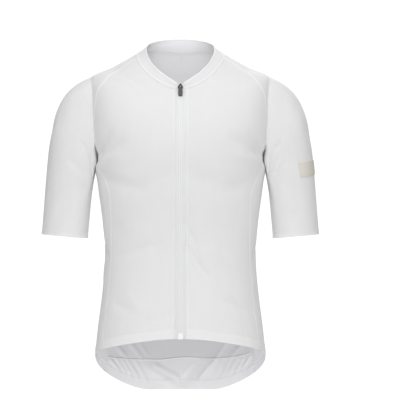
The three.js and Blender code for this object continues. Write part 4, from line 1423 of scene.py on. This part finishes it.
@dataclass
class RearPockets:
    """One panel for three rear pockets, laid on the back between the side seams."""

    columns: int = 140
    rows: int = 48
    mouth_rows: float = 0.6
    mouth_steps: int = 28
    mouth_hem: float = 14
    dividers: tuple[float, float] = (157, -153)
    reach: float = 70
    mouth: float = 3.2
    lift: float = 1.4
    sheet: Sheet = Sheet((0.40, 0.17), 0.062, "laid", ("back_cloth",))

    def build(self) -> bpy.types.Object:
        """Builds the panel, which stands a little off the back at its mouth."""
        share = clustered(self.columns, 0.3)
        fine = ROWS.pocket_high - self.mouth_rows
        rows = np.concatenate([np.linspace(ROWS.pocket_low, fine, self.rows)[:-1],
                               np.linspace(fine, ROWS.pocket_high, self.mouth_steps)])
        turn, ring = ROWS.back_net(rows, share)
        level = (rows - rows[0]) / (rows[-1] - rows[0])
        ring = ring + np.maximum(smooth_line(POCKET_LINE, turn[0]) - ring[0], 0) * (1 - level[:, None]) ** 4
        mouth_edge = Edge(drop=0.2, width=0.8, hem=self.mouth_hem, hem_raise=0.5, pucker=0.35)
        edges = {"bottom": Edge(drop=0.9, width=1.5, pucker=0.3), "top": mouth_edge,
                 "left": SEAM_EDGE, "right": SEAM_EDGE}
        patch = body_patch(turn, ring, edges)
        across = self.from_mid_back(signed(turn))
        stops = sorted([-self.reach, *self.from_mid_back(np.array(self.dividers)), self.reach])
        slack = np.zeros_like(across)
        for low, high in zip(stops, stops[1:]):
            inside = np.clip((across - low) / (high - low), 0, 1)
            slack += np.sin(np.pi * inside) ** 2 * ((across > low) & (across < high))
        height = (level**3)[:, None]
        patch.relief = patch.relief + slack * (0.25 + height) * self.mouth
        piece = Shell([patch], thickness=0.8, lift=self.lift).object("pocket_panel")
        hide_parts("rear_pockets")
        self.sheet.state(piece)
        self.sew(patch, across)
        return settle(piece, Finish.POCKET)

    @staticmethod
    def from_mid_back(turn: np.ndarray | float) -> np.ndarray:
        """Degrees from mid back, positive on the wearer's left."""
        return np.where(np.asarray(turn) > 0, 180 - turn, -180 - turn)

    def sew(self, patch: Patch, across: np.ndarray) -> None:
        """Sews the mouth, the bottom and the dividers.

        Args:
            patch: the panel's net.
            across: degrees from mid back of each point of the net.
        """
        trim = Trim.empty()
        depth = run_lengths(patch.points, 0)[:, self.columns // 2]
        mouth = int(np.argmin(np.abs(depth - (depth[-1] - self.mouth_hem))))
        for row, offsets in ((mouth, (-1.0, 1.0)), (-2, (0.0,)), (1, (0.6, 2.6))):
            for offset in offsets:
                trim.stitches(patch.track((row, slice(None)), self.lift).beside(-offset), 2.0, 0.8)
        for divider in self.dividers:
            column = int(np.argmin(np.abs(across[0] - self.from_mid_back(divider))))
            for offset in (-1.2, 1.2):
                trim.stitches(patch.track((slice(1, -1), column), self.lift).beside(offset), 2.0, 0.8)
        settle(trim.object("pocket_stitches"), Finish.THREAD)


@dataclass
class SleeveLabel:
    """A bare woven label on the wearer's left sleeve."""

    columns: int = 46
    rows: int = 26
    inner_angle: float = 80.5
    outer_top: float = -208
    inner_top: float = -215
    outer_bottom: float = -237
    inner_bottom: float = -245
    lift: float = 1.3
    sheet: Sheet = Sheet((0.068, 0.030), held="laid", rests_on=("left_sleeve",))

    def build(self) -> list[bpy.types.Object]:
        """Builds the label and the stitches round its border."""
        angle = np.linspace(self.inner_angle, 0, self.columns)
        along = np.linspace(0.05, 0.95, 240)
        columns = SLEEVE.points(1, angle[None, :], along[:, None])
        outer = np.linspace(0, 1, self.columns)
        top = self.inner_top + (self.outer_top - self.inner_top) * outer
        bottom = self.inner_bottom + (self.outer_bottom - self.inner_bottom) * outer
        points = np.empty((self.rows, self.columns, 3))
        for column in range(self.columns):
            line = columns[:, column]
            height = np.linspace(bottom[column], top[column], self.rows)
            for axis in range(3):
                points[:, column, axis] = np.interp(-height, -line[:, 2], line[:, axis])
        pattern = np.stack([run_lengths(points, 1), run_lengths(points, 0)], axis=-1)
        border = Edge(drop=0.25, width=0.6, hem=1.8, hem_raise=0.15, groove=0.2)
        patch = Patch.of(points, pattern, {side: border for side in ("left", "right", "bottom", "top")})
        shell = Shell([patch], thickness=0.7, lift=self.lift, lined=False)
        piece = shell.object("woven_label")
        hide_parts("sleeve_label")
        self.sheet.state(piece)
        trim = Trim.empty()
        for line in ((1, slice(None)), (-2, slice(None)), (slice(None), 1), (slice(None), -2)):
            trim.stitches(patch.track(line, self.lift), 1.6, 0.9, 0.2)
        stitches = trim.object("label_stitches")
        return [settle(piece, Finish.LABEL), settle(stitches, Finish.LABEL_THREAD)]


# Sewing.


def inset(surface: Surface, first: np.ndarray, start: float, end: float, distance: float) -> np.ndarray:
    """Finds the second coordinate at a distance from one edge of a surface.

    Args:
        surface: gives points for two coordinates.
        first: first coordinate along the edge.
        start: second coordinate of the edge.
        end: a second coordinate well past the distance.
        distance: millimetres from the edge.

    Returns:
        The second coordinate at each place.
    """
    second = start + (end - start) * np.linspace(0, 1, 80)[:, None] + np.zeros_like(first)
    length = run_lengths(surface(np.broadcast_to(first, second.shape), second), 0)
    return np.array([np.interp(distance, length[:, place], second[:, place]) for place in range(len(first))])


@dataclass(frozen=True)
class Stitching:
    """How a line is sewn: a low band of thread and rows of stitches beside its middle."""

    half_width: float = 0.0
    height: float = 0.0
    sink: float = 0.4
    rows: tuple[float, ...] = (0.0,)
    stitch: float = 2.0
    gap: float = 0.8
    slant: float = 0.0

    def sew(self, trim: Trim, track: Track) -> None:
        """Adds the band and the stitches along a track."""
        if self.half_width:
            trim.band(track, self.half_width, self.height, self.sink)
        for offset in self.rows:
            trim.stitches(track.beside(offset, 0.6 * self.height), self.stitch, self.gap, slant=self.slant)


FLATLOCK = Stitching(half_width=1.5, height=0.35, rows=(-0.75, 0.75))
RAGLAN_COVER = Stitching(half_width=2.2, height=0.45, rows=(-1.2, 1.2))
TOPSTITCH = Stitching()
TWIN_NEEDLE = Stitching(rows=(-1.0, 1.0))
BINDING = Stitching(half_width=1.1, height=0.7, sink=2.4, rows=())
NECK_TAPE = Stitching(rows=(-0.8, 0.8))
POCKET_SEAM = Stitching(half_width=1.8, height=0.9, sink=0.6, rows=())
ARMHOLE_COVER = Stitching(half_width=1.1, height=0.25, rows=())
BAR_TACK = Stitching(half_width=0.5, height=0.4, rows=())


@dataclass
class Sewing:
    """Seams, hems and topstitching over the pieces."""

    steps: tuple[float, float] = (0.3, 0.02)
    sleeve_steps: tuple[float, float] = (0.5, 0.004)
    seam_ahead: float = 1.9
    placket_half: float = 16.4
    front_hem: float = 20
    cuff_hem: float = 8
    collar_hem: float = 5.5
    cloth: float = 0.9
    pocket_dividers: tuple[float, float] = (146, 208.8)
    tack_turn: float = 177.6
    ridge_lift: float = 1.5

    def build(self) -> list[bpy.types.Object]:
        """Sews everything, with the inside apart from the outside."""
        outside, inside = Trim.empty(), Trim.empty()
        for side in (1, -1):
            self.long_seams(outside, side)
            self.armhole(outside, side)
            self.sleeve(outside, side)
        self.front(outside)
        self.collar(outside)
        self.neck_inside(inside)
        self.hem_inside(inside)
        made = (outside.object("seam_threads"), inside.object("inside_seam_threads"))
        return [settle(thing, Finish.THREAD) for thing in made]

    def long_seams(self, trim: Trim, side: int) -> None:
        """The raglan seam and both edges of the side panel."""
        for seam, low, high, stitching in (
            (Seam.RAGLAN, RAGLAN_RING, NECK_RING, RAGLAN_COVER),
            (Seam.FRONT_SIDE, 0, ARMPIT_RING, FLATLOCK),
            (Seam.BACK_SIDE, 0, ARMPIT_RING, FLATLOCK),
        ):
            rings = rings_between(low, high)
            stitching.sew(trim, Track.on(body_points, side * seam.turn(rings), rings, self.steps))

    def armhole(self, trim: Trim, side: int) -> None:
        """One row of topstitching on the body beside the armhole."""
        turn, ring = ARMHOLE.place(np.linspace(-180, 180, 300))
        seam = Track.on(body_points, side * turn, ring, self.steps)
        TOPSTITCH.sew(trim, seam.beside(side * self.seam_ahead))
        ARMHOLE_COVER.sew(trim, seam)

    def sleeve(self, trim: Trim, side: int) -> None:
        """The sleeve's underarm seam and its cuff hem."""

        def surface(angle: np.ndarray, along: np.ndarray) -> np.ndarray:
            """Points of this sleeve."""
            return SLEEVE.points(side, angle, along)

        along = np.linspace(0.03, 1, 70)
        FLATLOCK.sew(trim, Track.on(surface, np.full(len(along), 180.0), along, self.sleeve_steps, side < 0))
        angle = np.linspace(-179, 179, 160)
        hem = inset(surface, angle, 1, 0.9, self.cuff_hem)
        TWIN_NEEDLE.sew(trim, Track.on(surface, angle, hem, self.sleeve_steps, side < 0).beside(0, -0.25))

    def front(self, trim: Trim) -> None:
        """The placket's topstitching and the front hem's."""
        rings = rings_between(0.02, NECK_RING - 0.03)
        for side in (1, -1):
            edge = side * front_edge_turn(rings, self.placket_half)
            TOPSTITCH.sew(trim, Track.on(body_points, edge, rings, self.steps).beside(0, -0.2))
            turn = side * np.linspace(4.2, 112, 120)
            hem = inset(body_points, turn, 0, 1.5, self.front_hem)
            TWIN_NEEDLE.sew(trim, Track.on(body_points, turn, hem, self.steps).beside(0, -0.2))

    def collar(self, trim: Trim) -> None:
        """The collar's topstitching and the bound top edge."""
        start = float(front_edge_turn(NECK_RING, FRONT_EDGE_HALF))
        turn = np.linspace(start, 360 - start, 260)
        hem = inset(COLLAR.points, turn, 0, 0.9, self.collar_hem)
        TOPSTITCH.sew(trim, Track.on(COLLAR.points, turn, hem, self.steps).beside(0, -0.1))
        TOPSTITCH.sew(trim, Track.on(body_points, turn, np.full(len(turn), 10.93), self.steps))
        edge = Track.on(COLLAR.points, turn, np.full(len(turn), 1.0), (0.3, 0.01))
        top, below = (COLLAR.points(turn, np.full(len(turn), share)) for share in (1.0, 0.95))
        upward = unit(top - below)
        BINDING.sew(trim, Track(edge.points - edge.normals * 0.75, upward))

    def neck_inside(self, trim: Trim) -> None:
        """The tape over the neck seam and the small tack below it."""
        turn = np.linspace(60, 300, 200)
        tape = Track.on(COLLAR.points, turn, np.zeros(len(turn)), (0.3, 0.01), flip=True)
        NECK_TAPE.sew(trim, tape.beside(0, self.cloth + 0.1))
        rings = np.linspace(10.93, 10.55, 6)
        tack = Track.on(body_points, np.full(len(rings), self.tack_turn), rings, self.steps, flip=True)
        BAR_TACK.sew(trim, tack.beside(0, self.cloth + 0.1))

    def hem_inside(self, trim: Trim) -> None:
        """The pockets' seams and the gripper's seam, as they show inside the back."""
        turn = np.linspace(POCKET_LINE[0][0], POCKET_LINE[-1][0], 140)
        seam = Track.on(body_points, turn, smooth_line(POCKET_LINE, turn), self.steps, flip=True)
        POCKET_SEAM.sew(trim, seam.beside(0, self.cloth))
        for divider in self.pocket_dividers:
            rings = rings_between(float(smooth_line(POCKET_LINE, np.array(divider))), 4.2)
            line = Track.on(body_points, np.full(len(rings), divider), rings, self.steps, flip=True)
            TWIN_NEEDLE.sew(trim, line.beside(0, self.cloth))
        turn, ring = ROWS.back_net(np.array([ROWS.gripper]), np.linspace(0, 1, 160))
        line = Track.on(body_points, turn[0], ring[0], self.steps, flip=True)
        TOPSTITCH.sew(trim, line.beside(0, self.ridge_lift))
        line = Track.on(body_points, turn[0], ring[0], self.steps)
        TOPSTITCH.sew(trim, line)


# Zip.


@dataclass
class PullTabTrim:
    """The raised rim on the pull tab, which moves with it, and the pin's rivet head, which stays."""

    pin: tuple[float, float, float] = (0, -89.8, -63.2)
    tilt: float = math.radians(17)
    face: float = 0.9
    half_width: float = 3.3
    top: float = 6.9
    bottom: float = 19.2
    corner: float = 1.7
    rim_half: float = 0.42
    rim_height: float = 0.25
    rivet_radius: float = 1.25
    rivet_height: float = 0.5
    rivet_face: float = 1.93

    def build(self) -> list[bpy.types.Object]:
        """Builds both on the tab's front."""
        down = np.array([0, -math.sin(self.tilt), -math.cos(self.tilt)])
        out = np.array([0, -math.cos(self.tilt), math.sin(self.tilt)])
        rim = Trim.empty()
        outline = self.outline()
        points = np.array(self.pin) + outline[:, :1] * [1, 0, 0] + outline[:, 1:] * down + out * self.face
        rim.band(Track(points, np.tile(out, (len(points), 1))), self.rim_half, self.rim_height, 0.2)
        rivet = Trim.empty()
        self.dome(rivet)
        return [settle(rim.object("tab_rim"), Finish.SLIDER, PULL_TAB),
                settle(rivet.object("tab_rivet"), Finish.RIVET)]

    def outline(self) -> np.ndarray:
        """The rim's closed line: across and down from the pin."""
        inner = self.half_width - self.corner
        corners = ((inner, self.top + self.corner, -90), (inner, self.bottom - self.corner, 0),
                   (-inner, self.bottom - self.corner, 90), (-inner, self.top + self.corner, 180))
        line = [(x + self.corner * math.cos(math.radians(start + step)),
                 y + self.corner * math.sin(math.radians(start + step)))
                for x, y, start in corners for step in range(0, 91, 15)]
        return np.array([*line, line[0]])

    def dome(self, trim: Trim) -> None:
        """Adds the rivet's round head."""
        around = np.radians(np.arange(0, 360, 20))
        rise = np.linspace(0, math.pi / 2, 6)
        radius, height = self.rivet_radius * np.cos(rise), self.rivet_height * np.sin(rise)
        x, y, z = self.pin
        net = np.stack([
            x + radius[:, None] * np.cos(around),
            y - self.rivet_face - height[:, None] + 0.15 + np.zeros_like(around),
            z + radius[:, None] * np.sin(around),
        ], axis=-1)
        trim.add(net, tube_faces(len(rise), len(around)))


@dataclass
class Zip:
    """Tapes, coil, slider, pull tab and bottom box."""

    tape_half: float = 12.2
    tape_sink: float = 0.15
    chain_raise: float = 0.45
    pitch: float = 1.35
    loop_radius: float = 0.7
    loop_length: float = 1.1
    loop_half: float = 1.3
    collar_rows: int = 8
    tape_sheet: Sheet = Sheet((0.0105, 0.565), held="laid", rests_on=("left_front", "right_front"))

    def strip(self, low: float, high: float, columns: int, name: str, edge: Edge, lift: float) -> bpy.types.Object:
        """A strip of the zip between two distances from the middle."""
        rings = rings_between(0, NECK_RING)
        half = np.linspace(low, high, columns)
        size = np.maximum(np.abs(half), 1e-3)
        turn = np.sign(half) * np.stack([front_edge_turn(rings, width) for width in size], axis=-1)
        ring = np.broadcast_to(rings[:, None], turn.shape)
        body = body_points(turn, ring)
        collar = COLLAR.points(turn[-1][None, :], np.linspace(0, 1, self.collar_rows)[1:, None])
        points = np.concatenate([body, collar])
        pattern = np.stack(np.broadcast_arrays(half[None, :], run_lengths(points, 0)), axis=-1)
        patch = Patch.of(points, pattern, {"left": edge, "right": edge})
        return Shell([patch], thickness=0.8, lift=lift, lined=False).object(name)

    def build(self) -> list[bpy.types.Object]:
        """Builds the zip's soft parts and dresses the hard ones."""
        made = []
        edge = Edge(drop=0.15, width=0.5)
        for name, node, low, high in (
            ("left_tape", "zip_tape_left", CHAIN_HALF, self.tape_half),
            ("right_tape", "zip_tape_right", -self.tape_half, -CHAIN_HALF),
        ):
            piece = self.strip(low, high, 6, name, edge, -self.tape_sink)
            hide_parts(node)
            self.tape_sheet.state(piece)
            made.append(settle(piece, Finish.TAPE))
        # The strip between the coil rows is grey: painted shade for the gap between the loops.
        core = self.strip(-CHAIN_HALF, CHAIN_HALF, 5, "coil_core", edge, self.chain_raise - 0.1)
        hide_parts("zip_chain")
        made.append(settle(core, Finish.CORE))
        made.append(settle(self.coil(), Finish.COIL))
        return made

    def coil(self) -> bpy.types.Object:
        """The two rows of coil loops."""
        trim = Trim.empty()
        rings = rings_between(0.05, NECK_RING, 0.02)
        for side in (1, -1):
            track = Track.on(body_points, side * front_edge_turn(rings, self.loop_half), rings, (0.3, 0.02))
            self.loops(trim, track.beside(0, self.chain_raise).spaced(self.pitch), side)
        return trim.object("coil_loops")

    def loops(self, trim: Trim, row: Track, side: int) -> None:
        """Adds loops that lie across a row."""
        along, across = row.along(), np.cross(row.along(), row.normals)
        run = across * self.loop_length / 2 + along * 0.12 * side
        middle = row.points
        width, rise = along * self.loop_radius, row.normals * self.loop_radius * 0.3
        ends = [middle - run - rise * 0.6, middle + run - rise * 0.6]
        net = np.stack([*ends, middle + width - run * 0.5, middle + width + run * 0.5,
                        middle + rise - run * 0.6, middle + rise + run * 0.6,
                        middle - width - run * 0.5, middle - width + run * 0.5], axis=1)
        trim.repeat(net, LOOP_FACES)


# Studio.


@dataclass
class Studio:
    """Camera, soft light and a pale floor."""

    camera_distance: float = 3.6
    camera_height: float = -0.29
    lens: float = 158.0
    shift: float = 0.049
    floor_height: float = -2.1
    floor_half: float = 6.0
    ambient: float = 0.64
    behind: float = 0.5
    backdrop: float = 1.75

    def build(self) -> None:
        """Builds the studio."""
        self.camera()
        self.world()
        self.floor()
        for name, place, size, power in (
            ("front_softbox", (0.02, -1.9, 0.6), 1.3, 19.2),
            ("top_softbox", (0.1, -0.7, 2.9), 2.0, 14.0),
            ("low_softbox", (0.0, -2.0, -1.5), 1.0, 1.0),
            ("hem_fill", (0.0, -0.3, -1.35), 0.6, 1.8),
            ("back_softbox", (0.5, 2.2, 1.3), 1.5, 32.0),
        ):
            self.softbox(name, place, size, power)
        view = bpy.context.scene.view_settings
        view.view_transform = "Standard"
        view.look = "None"

    def camera(self) -> None:
        """A level camera straight in front."""
        lens = bpy.data.cameras.new("camera")
        lens.lens = self.lens
        lens.sensor_width = 36
        lens.shift_x = self.shift
        camera = bpy.data.objects.new("camera", lens)
        camera.location = (0, -self.camera_distance, self.camera_height)
        camera.rotation_euler = (math.pi / 2, 0, 0)
        bpy.context.scene.collection.objects.link(camera)
        bpy.context.scene.camera = camera

    def world(self) -> None:
        """Even light from all round, strongest from the front, before a white backdrop."""
        world = bpy.data.worlds.new("studio")
        bpy.context.scene.world = world
        shader = Shader(world, "Background")
        place = shader.node("ShaderNodeTexCoord", {}, output="Generated")
        depth = shader.node("ShaderNodeSeparateXYZ", {}, place, output="Y")
        around = shader.node("ShaderNodeMapRange", {}, depth, -1.0, 1.0, 1.0, self.behind)
        seen = shader.node("ShaderNodeLightPath", {}, output="Is Camera Ray")
        shader.close(
            Color=(self.ambient, self.ambient, self.ambient, 1),
            Strength=shader.node("ShaderNodeMix", {}, Factor=seen, A=around, B=self.backdrop),
        )

    def softbox(self, name: str, place: tuple[float, float, float], size: float, power: float) -> None:
        """A square area light that faces the jersey."""
        light = bpy.data.lights.new(name, "AREA")
        light.shape = "SQUARE"
        light.size = size
        light.energy = power
        lamp = bpy.data.objects.new(name, light)
        lamp.location = place
        lamp.visible_camera = False
        aim = Vector((0, 0, self.camera_height)) - Vector(place)
        lamp.rotation_euler = aim.to_track_quat("-Z", "Y").to_euler()
        bpy.context.scene.collection.objects.link(lamp)

    def floor(self) -> None:
        """A pale floor below the jersey."""
        half = self.floor_half / MM
        height = self.floor_height / MM
        corners = np.array([[-half, -half, height], [half, -half, height], [half, half, height], [-half, half, height]])
        floor = mesh_object("floor", corners, np.array([[0, 1, 2, 3]]))
        Finish.FLOOR.dress(floor)


def main() -> None:
    """Builds the jersey and its studio."""
    logging.basicConfig(level=logging.INFO, format="%(name)s: %(message)s")
    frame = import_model()
    for side, word in SIDES:
        Front(side, f"{word}_front", f"front_{word}").build()
    Back().build()
    HemGripper().build()
    for side, word in SIDES:
        SidePanel(side, f"{word}_side", f"side_{word}").build()
    for side, word in SIDES:
        Sleeve(side, f"{word}_sleeve", f"sleeve_{word}").build()
    for part in (Collar(), RearPockets(), SleeveLabel(), Sewing(), Zip(), PullTabTrim()):
        part.build()
    for node, finish in (("zip_slider", Finish.SLIDER), ("zip_pull_tab", Finish.SLIDER), ("zip_box", Finish.COIL)):
        finish.dress(frame["nodes"][node])
    Studio().build()


if __name__ == "__main__":
    main()
